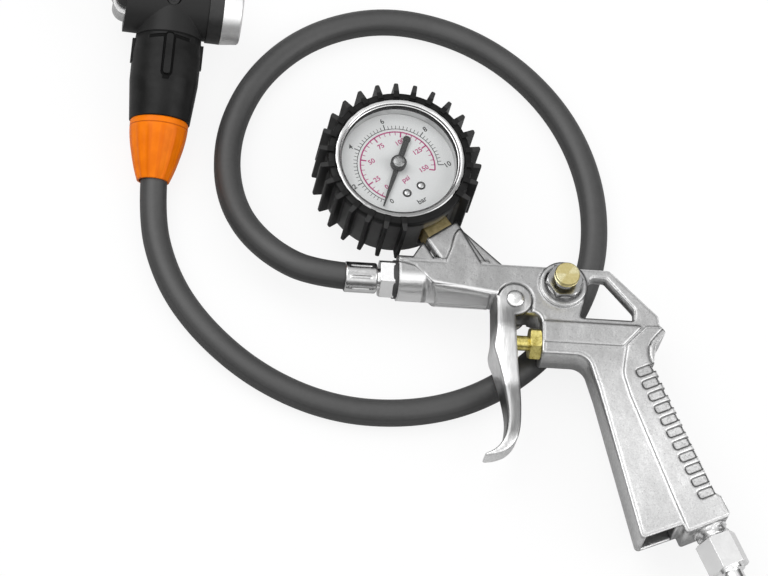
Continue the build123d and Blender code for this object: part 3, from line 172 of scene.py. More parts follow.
class Wire:
    """A shader socket. Arithmetic on it adds the Math nodes that work it out."""

    def __init__(self, tree, socket):
        self.tree, self.socket = tree, socket

    def math(self, operation, first, second=0.0):
        return add(self.tree, "Math", {"operation": operation}, {0: first, 1: second})

    __add__ = operator("ADD")
    __radd__ = operator("ADD", swapped=True)
    __sub__ = operator("SUBTRACT")
    __rsub__ = operator("SUBTRACT", swapped=True)
    __mul__ = operator("MULTIPLY")
    __rmul__ = operator("MULTIPLY", swapped=True)
    __truediv__ = operator("DIVIDE")
    __pow__ = operator("POWER")
    __abs__ = operator("ABSOLUTE")
    sine = operator("SINE")
    fraction = operator("FRACT")
    least = operator("MINIMUM")
    most = operator("MAXIMUM")

    def step(self, low, high):
        """0 below low, 1 above high, and smooth between them."""
        return add(self.tree, "MapRange", {"interpolation_type": "SMOOTHSTEP"}, {0: self, 1: low, 2: high})

    def between(self, low, high, soft, soft_high=None):
        """1 between low and high, with soft ends."""
        soft_high = soft_high or soft
        return (self - low).step(-soft, soft) * (high - self).step(-soft_high, soft_high)

    def line(self, half, soft):
        """1 within half of 0, and 0 beyond half and soft together."""
        return self.step(-half - soft, -half) - self.step(half, half + soft)


def add(tree, kind, settings=(), sockets=(), out=0):
    """Make one node: its settings first, then the values or links of its sockets."""
    node = tree.nodes.new("ShaderNode" + kind)
    for key, value in dict(settings).items():
        if key == "stops":
            ramp = node.color_ramp.elements
            while len(ramp) < len(value):
                ramp.new(0.5)
            for element, (position, colour) in zip(ramp, value):
                element.position, element.color = position, (*colour, 1)
        else:
            setattr(node, key, value)
    for key, value in dict(sockets).items():
        if isinstance(value, Wire):
            tree.links.new(value.socket, node.inputs[key])
        elif hasattr(value, "__len__") and len(value) == 3 and len(node.inputs[key].default_value) == 4:
            node.inputs[key].default_value = (*value, 1)
        else:
            node.inputs[key].default_value = value
    return Wire(tree, node.outputs[out]) if node.outputs else None


class Finish:
    """A material of one Principled shader, with the textures that its finish is made of."""

    def __init__(self, name):
        self.material = bpy.data.materials.new(name)
        self.material.use_nodes = True
        self.tree = self.material.node_tree
        self.tree.nodes.clear()
        self.place = self.add("TexCoord", out=3)

    def add(self, kind, settings=(), sockets=(), out=0):
        return add(self.tree, kind, settings, sockets, out)

    def noise(self, size_mm, detail, rough, place=None):
        return self.add("TexNoise", {}, {"Vector": place or self.place, "Scale": 1 / (size_mm * MM),
                                         "Detail": detail, "Roughness": rough})

    def seen_from(self, matrix):
        """The place in a frame's own axes, in millimetres."""
        x, y, z = self.split()
        rows = matrix.inverted()[:3]
        return [(a * x + b * y + c * z + start) * (1 / MM) for a, b, c, start in rows]

    def joined(self, x, y, z):
        return self.add("CombineXYZ", {}, {0: x, 1: y, 2: z})

    def split(self, place=None):
        node = self.tree.nodes.new("ShaderNodeSeparateXYZ")
        self.tree.links.new((place or self.place).socket, node.inputs[0])
        return [Wire(self.tree, socket) for socket in node.outputs]

    def facing(self):
        """How far the surface faces along each axis, from -1 to 1."""
        return self.split(self.add("NewGeometry", out=3))

    def mix(self, factor, first, second, blend="MIX"):
        return self.add("Mix", {"data_type": "RGBA", "blend_type": blend}, {0: factor, 6: first, 7: second},
                        out=2)

    def bump(self, height, distance_mm, strength, normal=None):
        sockets = {"Height": height, "Distance": distance_mm * MM, "Strength": strength}
        if normal:
            sockets["Normal"] = normal
        return self.add("Bump", {}, sockets)

    def soft_edge(self, radius_mm, samples=6):
        return self.add("Bevel", {"samples": samples}, {"Radius": radius_mm * MM})

    def done(self, **sockets):
        """Close the material with the sockets that differ from the shader's own; spaces are underscores."""
        named = {key.replace("_", " "): value for key, value in sockets.items()}
        shader = self.add("BsdfPrincipled", {}, named)
        self.add("OutputMaterial", {}, {0: shader})
        return self.material


def grey(level):
    return (level, level, level)


def clipped(roughness):
    """Roughness kept off both ends of its range."""
    return roughness.most(0.05).least(0.95)


def metal(name, colour, rough, grain_mm=0.35, grain_depth=0.02, edge_mm=0.35, mottle=0.06, dark=None):
    """Metal with a fine grain, cloudy changes of gloss and softened edges."""
    f = Finish(name)
    grain = f.noise(grain_mm, 3, 0.6)
    cloud = f.noise(9, 2, 0.5)
    dull = f.noise(1.6, 3, 0.6)
    dark = dark or tuple(c * 0.78 for c in colour)
    tone = f.mix((cloud * 0.6 + dull * 0.4).step(0.3, 0.7), dark, colour)
    roughness = rough + (dull - 0.5) * mottle * 2 + (grain - 0.5) * mottle
    normal = f.soft_edge(edge_mm) if edge_mm else None
    return f.done(Base_Color=tone, Metallic=1.0, Roughness=clipped(roughness),
                  Normal=f.bump(grain, grain_depth, 0.6, normal))


EDGE_SOFTNESS = 2.0     # rounding of the casting's edges, in millimetres
PAINTED_END_LIGHT = 0.5          # painted light: brightness painted on the barrel end, as a share of the grip's
LATHE_PITCH = 0.32      # from ring to ring on turned brass, in millimetres
BLOOM = 0.3             # paleness of the dust on rubber
HEAD_ON_MIRROR = 0.034  # share of light that glass mirrors when it is looked at squarely


def pad_masks(f):
    """Where the grip's finger pads have their rims, and where the floors inside them."""
    x, y = f.seen_from(GUN @ shift(PAD_X, PAD_Y) @ turn(GRIP_LEAN, "Z"))[:2]
    run = y * (-1 / PAD_PITCH) + 0.5
    beside = (-1 * x - (PAD_L / 2 - PAD_ROUND)).most(0.0)
    along = (abs(run.fraction() - 0.5) * PAD_PITCH - (PAD_W / 2 - PAD_ROUND)).most(0.0)
    edge = (beside * beside + along * along) ** 0.5 - PAD_ROUND
    on_pads = run.between(0, PAD_COUNT, 0.02) * x.step(-9, -8) * (8 - x).step(0, 1)
    rim = (edge.step(-0.9, -0.5) - edge.step(0.0, 0.4)) * on_pads
    inside = (-0.4 - edge).step(0.0, 0.4) * on_pads
    return rim, inside


def barrel_roll(right, far):
    """How deep the barrel's flank rolls away below its ridge, and where; its round end rolls more slowly."""
    end = (-1 * right).step(41, 45)
    ridge = end * 4.6 + 8.0 - (right + 39.6) * 0.124 * (1 - end)
    below = (ridge - far).most(0.0)
    steep = below.least(4.4)
    depth = (steep * steep * 0.225 + (below - steep) * 2.0) * (1 - end) + below * below * 0.06 * end
    on_barrel = (-1 * right).step(7, 9) * (far + 1.5).step(0, 1)
    rolled = (below * (1 - 0.7 * end)).step(0.0, 1.2) * on_barrel
    return depth * -1 * on_barrel, rolled


def casting(name, flat, flank, rough):
    """Sand-textured die casting: fine pits and gentle waves, painted shade where it turns away from the
    flats, and painted light that leaves the barrel end darkest.
    """
    f = Finish(name)
    grain = f.noise(0.75, 3, 0.65)
    pits = f.noise(0.4, 2, 0.6)
    waves = f.noise(17, 1.5, 0.4)
    ripples = f.noise(4.5, 2, 0.5)
    speck = f.noise(1.3, 3, 0.7)
    up = abs(f.facing()[2]).step(0.55, 0.95)
    # painted light and shade: the barrel end is painted darkest, the grip lighter, and the grip's foot a
    # little darker again
    right, far = f.seen_from(GUN)[:2]
    down = -1 * far
    painted_grip_light = (right.step(2, 34) * 0.3 + down.step(15, 70) * 0.7) - down.step(84, 125) * 0.28
    painted_light_tone = f.mix(painted_grip_light, tuple(c * PAINTED_END_LIGHT for c in flat), flat)
    shade = f.mix((grain * 0.75 + speck * 0.25).step(0.36, 0.62), grey(0.86), grey(1.0))
    tone = f.mix(1.0, painted_light_tone, shade, "MULTIPLY")
    # painted shade: walls that turn away from the flats take the darker flank colour
    side = f.mix(speck.step(0.35, 0.65), tuple(c * 0.82 for c in flank), flank)
    tone = f.mix(up, side, tone)
    # painted shade: the finger pads' rims are painted dark, and so are the corners where a wall meets a flat
    rim, inside = pad_masks(f)
    tone = f.mix(rim * (0.5 + speck * 0.6).least(1.0), tone, grey(0.12))
    tone = f.mix(inside * speck.step(0.5, 0.62) * 0.4, tone, grey(0.2))
    # painted shade: ambient occlusion darkens the corners
    corner = f.add("AmbientOcclusion", {"samples": 6}, {"Distance": 1.6 * MM}, out=1)
    tone = f.mix((0.9 - corner).step(0.0, 0.45) * 0.8, tone, grey(0.12))
    roughness = rough + (grain - 0.5) * 0.2 + (1 - up) * 0.04
    # walls lean back towards the flats, as cast ones do
    level = f.split()[2] * (1 / MM) - GUN.translation.z / MM
    square = level * level
    lean = square * -0.02 - square * square * 0.00022
    normal = f.bump(lean, 1.0, 1.0, f.soft_edge(EDGE_SOFTNESS, 8))
    roll, rolled = barrel_roll(right, far)
    normal = f.bump(roll, 1.0, 1.0, normal)
    # painted light: the barrel's rolled flank is painted back to the flats' colour, so that it mirrors more
    # light
    tone = f.mix(rolled, tone, flat)
    normal = f.bump(waves, 0.9, 1.0, normal)
    normal = f.bump(ripples, 0.14, 1.0, normal)
    normal = f.bump(grain * 0.7 + pits * 0.3, 0.09, 1.0, normal)
    return f.done(Base_Color=tone, Metallic=1.0, Roughness=clipped(roughness), Normal=normal)


def turned_metal(name, light, dark, rough, frame_of):
    """Metal turned on a lathe: fine rings round an axis, along Z of its frame."""
    f = Finish(name)
    x, y, z = f.seen_from(frame_of)
    radius = (x * x + y * y) ** 0.5
    wander = f.noise(3, 2, 0.5)
    rings = f.noise(1, 2, 0.6, f.joined(radius * (1 / LATHE_PITCH) * MM, z * (1 / LATHE_PITCH) * MM, 0.0))
    dull = f.noise(1.8, 3, 0.6)
    tone = f.mix((dull * 0.6 + wander * 0.4).step(0.25, 0.75), dark, light)
    return f.done(Base_Color=tone, Metallic=1.0, Roughness=clipped(rough + (dull - 0.5) * 0.15),
                  Normal=f.bump(rings, 0.02, 0.8, f.soft_edge(0.3)))


def rubber(name, colour, rough=0.55, grain_depth=0.02, shine=0.3):
    """Rubber or soft plastic: matte, a little greyed, with a fine skin."""
    f = Finish(name)
    skin = f.noise(0.5, 4, 0.65)
    cloud = f.noise(12, 3, 0.55)
    fine = f.noise(2.0, 4, 0.6)
    pale = tuple(c * (1 + BLOOM) + 0.012 * BLOOM for c in colour)
    tone = f.mix((cloud * 0.5 + fine * 0.5).step(0.35, 0.65), colour, pale)
    roughness = rough + (skin - 0.5) * 0.12 + (cloud - 0.5) * 0.1
    return f.done(Base_Color=tone, Roughness=clipped(roughness), Specular_IOR_Level=shine,
                  Normal=f.bump(skin, grain_depth, 0.5, f.soft_edge(0.35)))


def trigger_skin():
    """Tumbled lever with painted light and shade: a greyer ear, a painted highlight on the shoulder, painted
    shade on the greyer finger side and a painted highlight on the curl.
    """
    f = Finish("trigger_aluminium")
    x, y, z = f.seen_from(GUN)
    grain = f.noise(0.55, 3, 0.6)
    cloud = f.noise(6, 3, 0.6)
    streak = f.noise(1, 3, 0.6, f.joined(x * 0.9 * MM, y * 0.08 * MM, z * 0.9 * MM))
    # painted light and shade down the lever: highlights painted on the shoulder and the curl, shade painted
    # between them
    down = -1 * y + (cloud - 0.5) * 6
    painted_light_bands = down.step(12, 19) * (1 - down.step(41, 47)) + down.step(67, 74) * 0.75
    tone = f.mix(painted_light_bands, grey(0.31), grey(0.93))
    tone = f.mix(1.0, tone, f.mix(streak.step(0.3, 0.7), grey(0.84), grey(1.0)), "MULTIPLY")
    tone = f.mix(y.step(-7, 1), tone, grey(0.44))
    normal = f.bump(streak, 0.2, 0.7, f.soft_edge(1.5, 8))
    return f.done(Base_Color=tone, Metallic=1.0, Roughness=clipped(0.3 + (cloud - 0.5) * 0.1),
                  Normal=f.bump(grain, 0.04, 0.6, normal))


def button_face():
    """Turned button: fine rings, and a painted highlight shaped like the wedges of light that such rings
    throw.
    """
    f = Finish("button_brass")
    x, y, z = f.seen_from(BLEED)
    radius = (x * x + y * y) ** 0.5
    angle = y.math("ARCTAN2", y, x)
    # painted highlight: wedges of lighter, glossier colour across the middle
    painted_fan_highlight = (angle * 2 + 0.6).sine().step(0.35, 1.0) * radius.step(0.3, 1.5)
    rings = f.noise(1, 2, 0.6, f.joined(radius * 3.6 * MM, z * 3.6 * MM, 0.0))
    stain = f.noise(1.4, 3, 0.6)
    tone = f.mix(painted_fan_highlight * 0.75 + stain.step(0.4, 0.7) * 0.2, (0.56, 0.48, 0.22), (0.86, 0.8, 0.5))
    return f.done(Base_Color=tone, Metallic=1.0, Roughness=clipped(0.34 - painted_fan_highlight * 0.12 + (stain - 0.5) * 0.1),
                  Normal=f.bump(rings, 0.02, 0.7, f.soft_edge(0.3)))


def brass(name, light, deep, rough):
    """Milled brass with stains and short streaks."""
    f = Finish(name)
    stain = f.noise(2.2, 4, 0.6)
    grain = f.noise(0.3, 3, 0.6)
    streak = f.noise(1.0, 2, 0.5)
    tone = f.mix((stain * 0.7 + streak * 0.3).step(0.35, 0.62), deep, light)
    return f.done(Base_Color=tone, Metallic=1.0, Roughness=clipped(rough + (stain - 0.5) * 0.2),
                  Normal=f.bump(grain, 0.03, 0.6, f.soft_edge(0.3)))


def bezel_metal():
    """Plated ring, painted darker towards the stem and lighter at the top as painted light and shade, with
    soft dents so that what it mirrors wanders round it.
    """
    f = Finish("bezel_chrome")
    wave = f.noise(22, 2, 0.5)
    fine = f.noise(5, 2, 0.5)
    smear = f.noise(3, 3, 0.6)
    far = f.seen_from(GAUGE)[1]
    # painted light and shade: lighter towards the top, darker towards the stem
    painted_upper_light = (far + (smear - 0.5) * 12).step(-24, 16)
    tone = f.mix(painted_upper_light, grey(0.34), grey(0.74))
    return f.done(Base_Color=tone, Metallic=1.0, Roughness=clipped(0.17 + (smear - 0.5) * 0.06),
                  Normal=f.bump(fine, 0.09, 0.8, f.bump(wave, 1.2, 0.8)))


def hose_skin():
    """Matte hose with faint lengthwise streaks, painted lighter where it faces up as painted light."""
    f = Finish("hose_rubber")
    skin = f.noise(0.45, 4, 0.65)
    cloud = f.noise(26, 3, 0.55)
    fine = f.noise(2.4, 4, 0.6)
    tone = f.mix((cloud * 0.6 + fine * 0.4).step(0.38, 0.62), grey(0.85), grey(1.0))
    # painted light: the hose is painted lighter where it faces up
    painted_crown_light = f.mix(f.facing()[2].step(0.15, 0.95), grey(0.026), grey(0.05))
    tone = f.mix(1.0, painted_crown_light, tone, "MULTIPLY")
    return f.done(Base_Color=tone, Roughness=clipped(0.5 + (skin - 0.5) * 0.16 + (cloud - 0.5) * 0.1),
                  Specular_IOR_Level=0.55, Normal=f.bump(skin, 0.03, 0.6))


def chuck_skin():
    """Satin moulding: slots beside the ribs with painted shade in them, painted shadows under the head's
    skirt, a seam, and a ground-in sheen near the collar.
    """
    f = Finish("chuck_plastic")
    x, y, z = f.seen_from(CHUCK)
    skin = f.noise(0.5, 4, 0.6)
    cloud = f.noise(9, 3, 0.55)
    brushed = f.noise(1, 3, 0.6, f.joined(x * 0.12 * MM, y * 1.6 * MM, z * 0.12 * MM))
    on_top = z.step(4, 7)
    past_rib = (abs(y + 29.5) - 8.7).most(0.0)          # beyond the rib's straight sides
    reach = (x * x + past_rib * past_rib) ** 0.5
    beside = reach.step(1.7, 1.95) - reach.step(2.5, 3.0)
    drop = y + 19.6 + abs(x) * 0.1
    # painted shadow: two wedges under the head's skirt, one each side of the rib
    wedge = (abs(x).step(2.3, 2.7) - abs(x).step(9.5, 10.5)) * (drop.step(-0.9, -0.2) - drop.step(0.5, 1.1))
    tip = x.between(-1.5, 1.5, 0.5) * y.between(-41.9, -39.9, 0.5)
    from_seam = y + 17.6
    seam = from_seam.line(0.1, 0.4)
    # painted shade in the groove round the rib and at its tip; the seam is a dark joint
    slots_seam_and_painted_shade = (beside.most(wedge).most(tip) * on_top).most(seam * 0.7).least(1.0)
    sheen = (y + 57).step(0, 12) - (y + 45).step(0, 8)
    tone = f.mix(cloud.step(0.35, 0.65), grey(0.009), grey(0.014))
    tone = f.mix(from_seam.step(-0.5, 0.5), tone, grey(0.022))
    tone = f.mix(slots_seam_and_painted_shade, tone, grey(0.004))
    roughness = 0.4 + (skin - 0.5) * 0.1 + (brushed - 0.5) * 0.2 - sheen * 0.06 + slots_seam_and_painted_shade * 0.4
    normal = f.bump(slots_seam_and_painted_shade, -0.9, 1.0, f.soft_edge(0.5))
    normal = f.bump(brushed, 0.03, 0.5, normal)
    return f.done(Base_Color=tone, Roughness=clipped(roughness), Specular_IOR_Level=0.12,
                  Normal=f.bump(skin, 0.012, 0.5, normal))


def boot_skin():
    """Moulded boot: black fins with painted highlights on their front ends, and a greyer, mottled wall
    between them.
    """
    f = Finish("boot_rubber")
    x, y, z = f.seen_from(GAUGE)
    radius = (x * x + y * y) ** 0.5
    skin = f.noise(0.5, 4, 0.65)
    cloud = f.noise(8, 3, 0.6)
    wall = (36.2 - radius).step(0, 0.8) * (LIP_BACK - z).step(0, 0.8)
    end = (z - (FIN_FRONT - 0.5)).step(0, 0.3) * (radius - 35.6).step(0, 0.6)
    tone = f.mix(cloud.step(0.35, 0.65), grey(0.006), grey(0.01))
    tone = f.mix(wall * (0.6 + cloud * 0.6).least(1.0), tone, grey(0.1))
    # painted highlight: the fins' front ends are painted paler
    tone = f.mix(end * 0.8, tone, grey(0.035))
    return f.done(Base_Color=tone, Roughness=clipped(0.4 + (skin - 0.5) * 0.14), Specular_IOR_Level=0.14,
                  Normal=f.bump(skin, 0.02, 0.5, f.soft_edge(0.4)))


def orange_skin():
    """Glossy moulding with faint flutes along it, painted shade in stripes along them, and a rim line."""
    f = Finish("orange_plastic")
    x, y, z = f.seen_from(CHUCK)
    angle = x.math("ARCTAN2", x, z)
    flute = (angle * FLUTES).sine()
    fade = (y + 62.8).step(-3, 0)
    line = (y + 63.4).line(0.1, 0.25)
    skin = f.noise(0.8, 3, 0.6)
    cloud = f.noise(7, 3, 0.5)
    tone = f.mix(cloud.step(0.3, 0.7), (0.72, 0.152, 0.0), (0.8, 0.182, 0.001))
    # painted shade: darker stripes along the flutes
    tone = f.mix(flute.step(-0.1, 0.9) * (1 - fade) * 0.4, tone, (0.6, 0.108, 0.001))
    tone = f.mix(line, tone, (0.5, 0.09, 0.002))
    normal = f.bump(flute * (1 - fade), 0.22, 0.6, f.soft_edge(0.5))
    normal = f.bump(line, -0.3, 0.8, normal)
    return f.done(Base_Color=tone, Roughness=clipped(0.4 + (skin - 0.5) * 0.1), Specular_IOR_Level=0.12,
                  Normal=f.bump(skin, 0.015, 0.5, normal))


def nozzle_skin():
    """Satin nozzle, brushed round, with duller patches."""
    f = Finish("nozzle_metal")
    x, y, z = f.seen_from(NOZZLE)
    radius = (x * x + y * y) ** 0.5
    brush = f.noise(1, 3, 0.6, f.joined(radius * 2.6 * MM, z * 2.6 * MM, 0.0))
    dull = f.noise(1.2, 3, 0.6)
    tone = f.mix((dull * 0.8 + brush * 0.2).step(0.3, 0.7), grey(0.92), grey(0.98))
    return f.done(Base_Color=tone, Metallic=1.0, Roughness=clipped(0.42 + (dull - 0.5) * 0.12),
                  Normal=f.bump(brush, 0.012, 0.6, f.soft_edge(0.5)))


def dial_paint():
    """Printed card of the dial, off-white."""
    f = Finish("dial_white")
    fine = f.noise(0.7, 3, 0.6)
    cloud = f.noise(14, 2, 0.5)
    tone = f.mix((fine * 0.4 + cloud * 0.6).step(0.35, 0.65), grey(0.76), grey(0.8))
    return f.done(Base_Color=tone, Roughness=clipped(0.5 + (fine - 0.5) * 0.1), Specular_IOR_Level=0.35,
                  Normal=f.bump(fine, 0.004, 0.4))


def ink(name, colour):
    """Printed ink, a little uneven."""
    f = Finish(name)
    spread = f.noise(0.6, 3, 0.6)
    tone = f.mix(spread.step(0.3, 0.7), colour, tuple(c * 1.25 + 0.01 for c in colour))
    return f.done(Base_Color=tone, Roughness=clipped(0.5 + (spread - 0.5) * 0.15), Specular_IOR_Level=0.3,
                  Normal=f.bump(spread, 0.004, 0.3))


def glass():
    """Gauge glass: clear, slightly grey, and mirroring more the flatter it is looked at."""
    f = Finish("lens_glass")
    smear = f.noise(9, 3, 0.6)
    clear = f.add("BsdfTransparent", {}, {"Color": (0.918, 0.922, 0.922, 1)})
    shine = f.add("BsdfGlossy", {}, {"Color": (1, 1, 1, 1), "Roughness": 0.04})
    slant = f.add("LayerWeight", {}, {"Blend": 0.5}, "Facing")
    rim = slant ** 5.0 * (1 - HEAD_ON_MIRROR) + HEAD_ON_MIRROR
    share = rim * (0.8 + smear * 0.3)
    f.add("OutputMaterial", {}, {0: f.add("MixShader", {}, {0: share.least(1.0), 1: clear, 2: shine})})
    return f.material


FINISH = {
    # the second grey is the painted shade of the casting's walls
    "cast_aluminium": casting("cast_aluminium", grey(0.82), grey(0.66), 0.31),
    "trigger_aluminium": trigger_skin(),
    "rivet_steel": metal("rivet_steel", grey(0.84), 0.26, grain_depth=0.01, edge_mm=0.3),
    "bright_brass": brass("bright_brass", (0.78, 0.68, 0.25), (0.46, 0.38, 0.1), 0.3),
    "dull_brass": turned_metal("dull_brass", (0.8, 0.67, 0.36), (0.55, 0.44, 0.2), 0.36, BLEED),
    "button_brass": button_face(),
    "black_rubber": rubber("black_rubber", grey(0.01)),
    "boot_rubber": boot_skin(),
    "hose_rubber": hose_skin(),
    "spring_steel": metal("spring_steel", grey(0.5), 0.3, edge_mm=0),
    "dark_chrome": metal("dark_chrome", grey(0.42), 0.2, grain_depth=0.006, edge_mm=0.3),
    "plated_steel": metal("plated_steel", grey(0.96), 0.24, grain_depth=0.006, edge_mm=0.3, dark=grey(0.87)),
    "ferrule_steel": metal("ferrule_steel", grey(0.7), 0.24, grain_depth=0.006, edge_mm=0.3),
    "dark_washer": rubber("dark_washer", grey(0.04)),
    "gauge_steel": metal("gauge_steel", grey(0.7), 0.3),
    "bezel_chrome": bezel_metal(),
    "dial_white": dial_paint(),
    "screw_steel": metal("screw_steel", grey(0.85), 0.35),
    "pointer_black": rubber("pointer_black", grey(0.014), rough=0.4),
    "chuck_plastic": chuck_skin(),
    "sleeve_plastic": rubber("sleeve_plastic", grey(0.014), rough=0.36, grain_depth=0.008, shine=0.4),
    "nozzle_metal": nozzle_skin(),
    "white_plastic": rubber("white_plastic", grey(0.6), rough=0.4),
    "lever_metal": metal("lever_metal", grey(0.62), 0.28, edge_mm=0.4),
    "orange_plastic": orange_skin(),
    "lens_glass": glass(),
    "dark_ink": ink("dark_ink", grey(0.012)),
    "magenta_ink": ink("magenta_ink", (0.4, 0.012, 0.15)),
    "cap_steel": metal("cap_steel", grey(0.5), 0.3, grain_mm=0.7, grain_depth=0.2, edge_mm=0, mottle=0.3,
                       dark=grey(0.12)),
}

# ---------------------------------------------------------------- world and floor
ROOM_TONES = ((0.0, 0.04), (0.3, 0.1), (0.48, 0.36), (0.75, 0.62), (0.95, 0.8))     # from the walls' foot up
CEILING_LIGHT, NEAR_LIGHT = 0.85, 1.3
PAPER_LIT, PAPER_DIMMED = 0.86, 0.85        # how far the floor glows to the eye, and dims in mirrors


def ray_kinds(tree):
    """Whether a ray comes from the camera, from a reflection, or through glass."""
    node = tree.nodes.new("ShaderNodeLightPath")
    return [Wire(tree, node.outputs[k]) for k in ("Is Camera Ray", "Is Glossy Ray", "Is Transmission Ray")]


def studio():
    """White backdrop; what metal mirrors is a grey room with a ceiling light and a strip near the camera."""
    world = bpy.data.worlds.new("studio")
    scene.world = world
    world.use_nodes = True
    sky = world.node_tree
    sky.nodes.clear()
    camera_ray, _, through_ray = ray_kinds(sky)
    way = sky.nodes.new("ShaderNodeSeparateXYZ")
    sky.links.new(add(sky, "TexCoord", out=0).socket, way.inputs[0])
    east, north, height = (Wire(sky, socket) for socket in way.outputs)
    ceiling = height.most(0.05)
    across, along = east / ceiling, north / ceiling
    overhead = across.between(-0.45, 0.5, 0.12) * along.between(-0.1, 0.95, 0.12, 0.14)
    overhead = overhead * height.step(0.2, 0.5)
    near_strip = across.between(-1.1, 1.1, 0.2) * along.between(-1.3, -0.2, 0.2, 0.08)
    patches = add(sky, "TexNoise", {}, {"Vector": add(sky, "TexCoord", out=0), "Scale": 2.2, "Detail": 1.0})
    stops = [(position, grey(tone)) for position, tone in ROOM_TONES]
    room = add(sky, "ValToRGB", {"stops": stops}, {0: height + (patches - 0.5) * 1.3})

    def blended(factor, first, second):
        return add(sky, "Mix", {"data_type": "RGBA"}, {0: factor, 6: first, 7: second}, out=2)

    room = blended(overhead, room, grey(CEILING_LIGHT))
    room = blended(near_strip, room, grey(NEAR_LIGHT))
    shown = blended(camera_ray.most(through_ray), room, grey(1.0))
    add(sky, "OutputWorld", {}, {0: add(sky, "Background", {}, {"Color": shown, "Strength": 1.0})})


studio()
floor_mesh = bpy.data.meshes.new("floor")
bm = bmesh.new()
bmesh.ops.create_grid(bm, x_segments=1, y_segments=1, size=5.0)
bm.to_mesh(floor_mesh)
bm.free()
floor = bpy.data.objects.new("floor", floor_mesh)
scene.collection.objects.link(floor)


def floor_finish():
    """White paper that keeps the shadow, lit to the backdrop's white, and dim where metal mirrors it."""
    f = Finish("floor_white")
    camera_ray, glossy, through = ray_kinds(f.tree)
    paper = f.add("BsdfDiffuse", {}, {"Color": (0.8, 0.8, 0.8, 1)})
    lit = f.add("Emission", {}, {"Color": (1, 1, 1, 1), "Strength": 1.0})
    dim = f.add("BsdfDiffuse", {}, {"Color": (0.52, 0.52, 0.52, 1)})
    seen = f.add("MixShader", {}, {0: camera_ray.most(through) * PAPER_LIT, 1: paper, 2: lit})
    f.add("OutputMaterial", {}, {0: f.add("MixShader", {}, {0: glossy * PAPER_DIMMED, 1: seen, 2: dim})})
    return f.material


floor.data.materials.append(floor_finish())

# ---------------------------------------------------------------- finishes of the carried-over nodes
slots = {entry["node"]: entry["material_slot"] for entry in frame["record"]["subparts"]}
PAINTED_SHADE_LOOK = {"head_screw": "pointer_black"}      # painted black as the shade in its recess, although its own metal is steel
for name, node in frame["nodes"].items():
    finish = FINISH[PAINTED_SHADE_LOOK.get(name, slots.get(name, "cast_aluminium"))]
    for entry in node.material_slots:
        entry.material = finish
    if not node.material_slots:
        node.data.materials.append(finish)


# ---------------------------------------------------------------- making pieces
def dress(piece, body, finish, replaced=()):
    """Give a piece its finish and the body it moves with, and hide the nodes it stands for."""
    piece.data.materials.clear()
    piece.data.materials.append(FINISH[finish])
    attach(piece, body)
    if replaced:
        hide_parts(*replaced)
    return piece


def finished(name, bm, place, body, finish, replaced=(), sharp=34, facing=True):
    """Put a mesh in its place, smooth it and make it a piece."""
    bmesh.ops.transform(bm, matrix=place, verts=bm.verts)
    if facing:
        bmesh.ops.recalc_face_normals(bm, faces=bm.faces)
    mesh = bpy.data.meshes.new(name)
    bm.to_mesh(mesh)
    bm.free()
    mesh.shade_smooth()
    mesh.set_sharp_from_angle(angle=radians(sharp))
    piece = bpy.data.objects.new(name, mesh)
    scene.collection.objects.link(piece)
    return dress(piece, body, finish, replaced)


def spun(bm, outline, start=0.0, sweep=360.0, steps=96, loop=False):
    """Turn an outline of (radius, height) round Z; a loop swept part of the way is closed at its ends."""
    whole = sweep == 360.0
    before = set(bm.verts)
    corners = [bm.verts.new((r * MM, 0, z * MM)) for r, z in outline]
    bmesh.ops.rotate(bm, cent=(0, 0, 0), matrix=Matrix.Rotation(radians(start), 3, "Z"), verts=corners)
    pairs = list(zip(corners, corners[1:])) + ([(corners[-1], corners[0])] if loop else [])
    geom = corners + [bm.edges.new(pair) for pair in pairs]
    if loop and not whole:
        geom.append(bm.faces.new(corners))
    bmesh.ops.spin(bm, geom=geom, cent=(0, 0, 0), axis=(0, 0, 1), angle=radians(sweep), steps=steps,
                   use_merge=whole)
    made = [v for v in bm.verts if v not in before]
    bmesh.ops.remove_doubles(bm, verts=made, dist=1e-7)
    return [v for v in bm.verts if v not in before]


def slab(bm, outline, low, high):
    """Lift an outline of (x, y) from one height to another."""
    before = set(bm.verts)
    face = bm.faces.new([bm.verts.new((x * MM, y * MM, low * MM)) for x, y in outline])
    made = bmesh.ops.extrude_face_region(bm, geom=[face])["geom"]
    lifted = [item for item in made if isinstance(item, bmesh.types.BMVert)]
    bmesh.ops.translate(bm, vec=(0, 0, (high - low) * MM), verts=lifted)
    return [v for v in bm.verts if v not in before]


def carry(bm, verts, matrix):
    """Move some corners of a mesh by a matrix."""
    bmesh.ops.transform(bm, matrix=matrix, verts=verts)


def fillet_points(corner, radius, first, last, count):
    """Points of an arc about a corner, between two directions in degrees."""
    ways = [radians(first + (last - first) * i / count) for i in range(count + 1)]
    return [(corner[0] + radius * cos(way), corner[1] + radius * sin(way)) for way in ways]


# ---------------------------------------------------------------- gauge
CASE_R = 29.9
BOOT_R, BOOT_LIP_R, BOOT_RIB_R = CASE_R + 3.9, CASE_R + 5.5, CASE_R + 9.9
BOOT_BACK, BOOT_FRONT = -15.0, 20.9
BOOT_BORE_R, BOOT_FLOOR = 30.0, -12.2
BACK_HOLE_R = 12.0
BEZEL_SEAT, BEZEL_GAP_R = 13.6, 32.15       # ledge under the bezel, and the mouth round it
STEM_GAP = 8.2                              # half the stem's window, round the wall and along it
FINS, FIRST_FIN, FIN_BACK = 26, 93.4, -9.5  # count, the first one's angle, and their back ends
BARE_FROM, BARE_TO = -28, 14                # angles from the stem without fins
DIAL_TOP = 12.0
ZERO_ANGLE, UPRIGHT = 263.0, 35.2           # of both scales' zero; of the letters
BAR_ANGLE, PSI_ANGLE = 25.75, 1.776         # degrees for one bar and for one psi


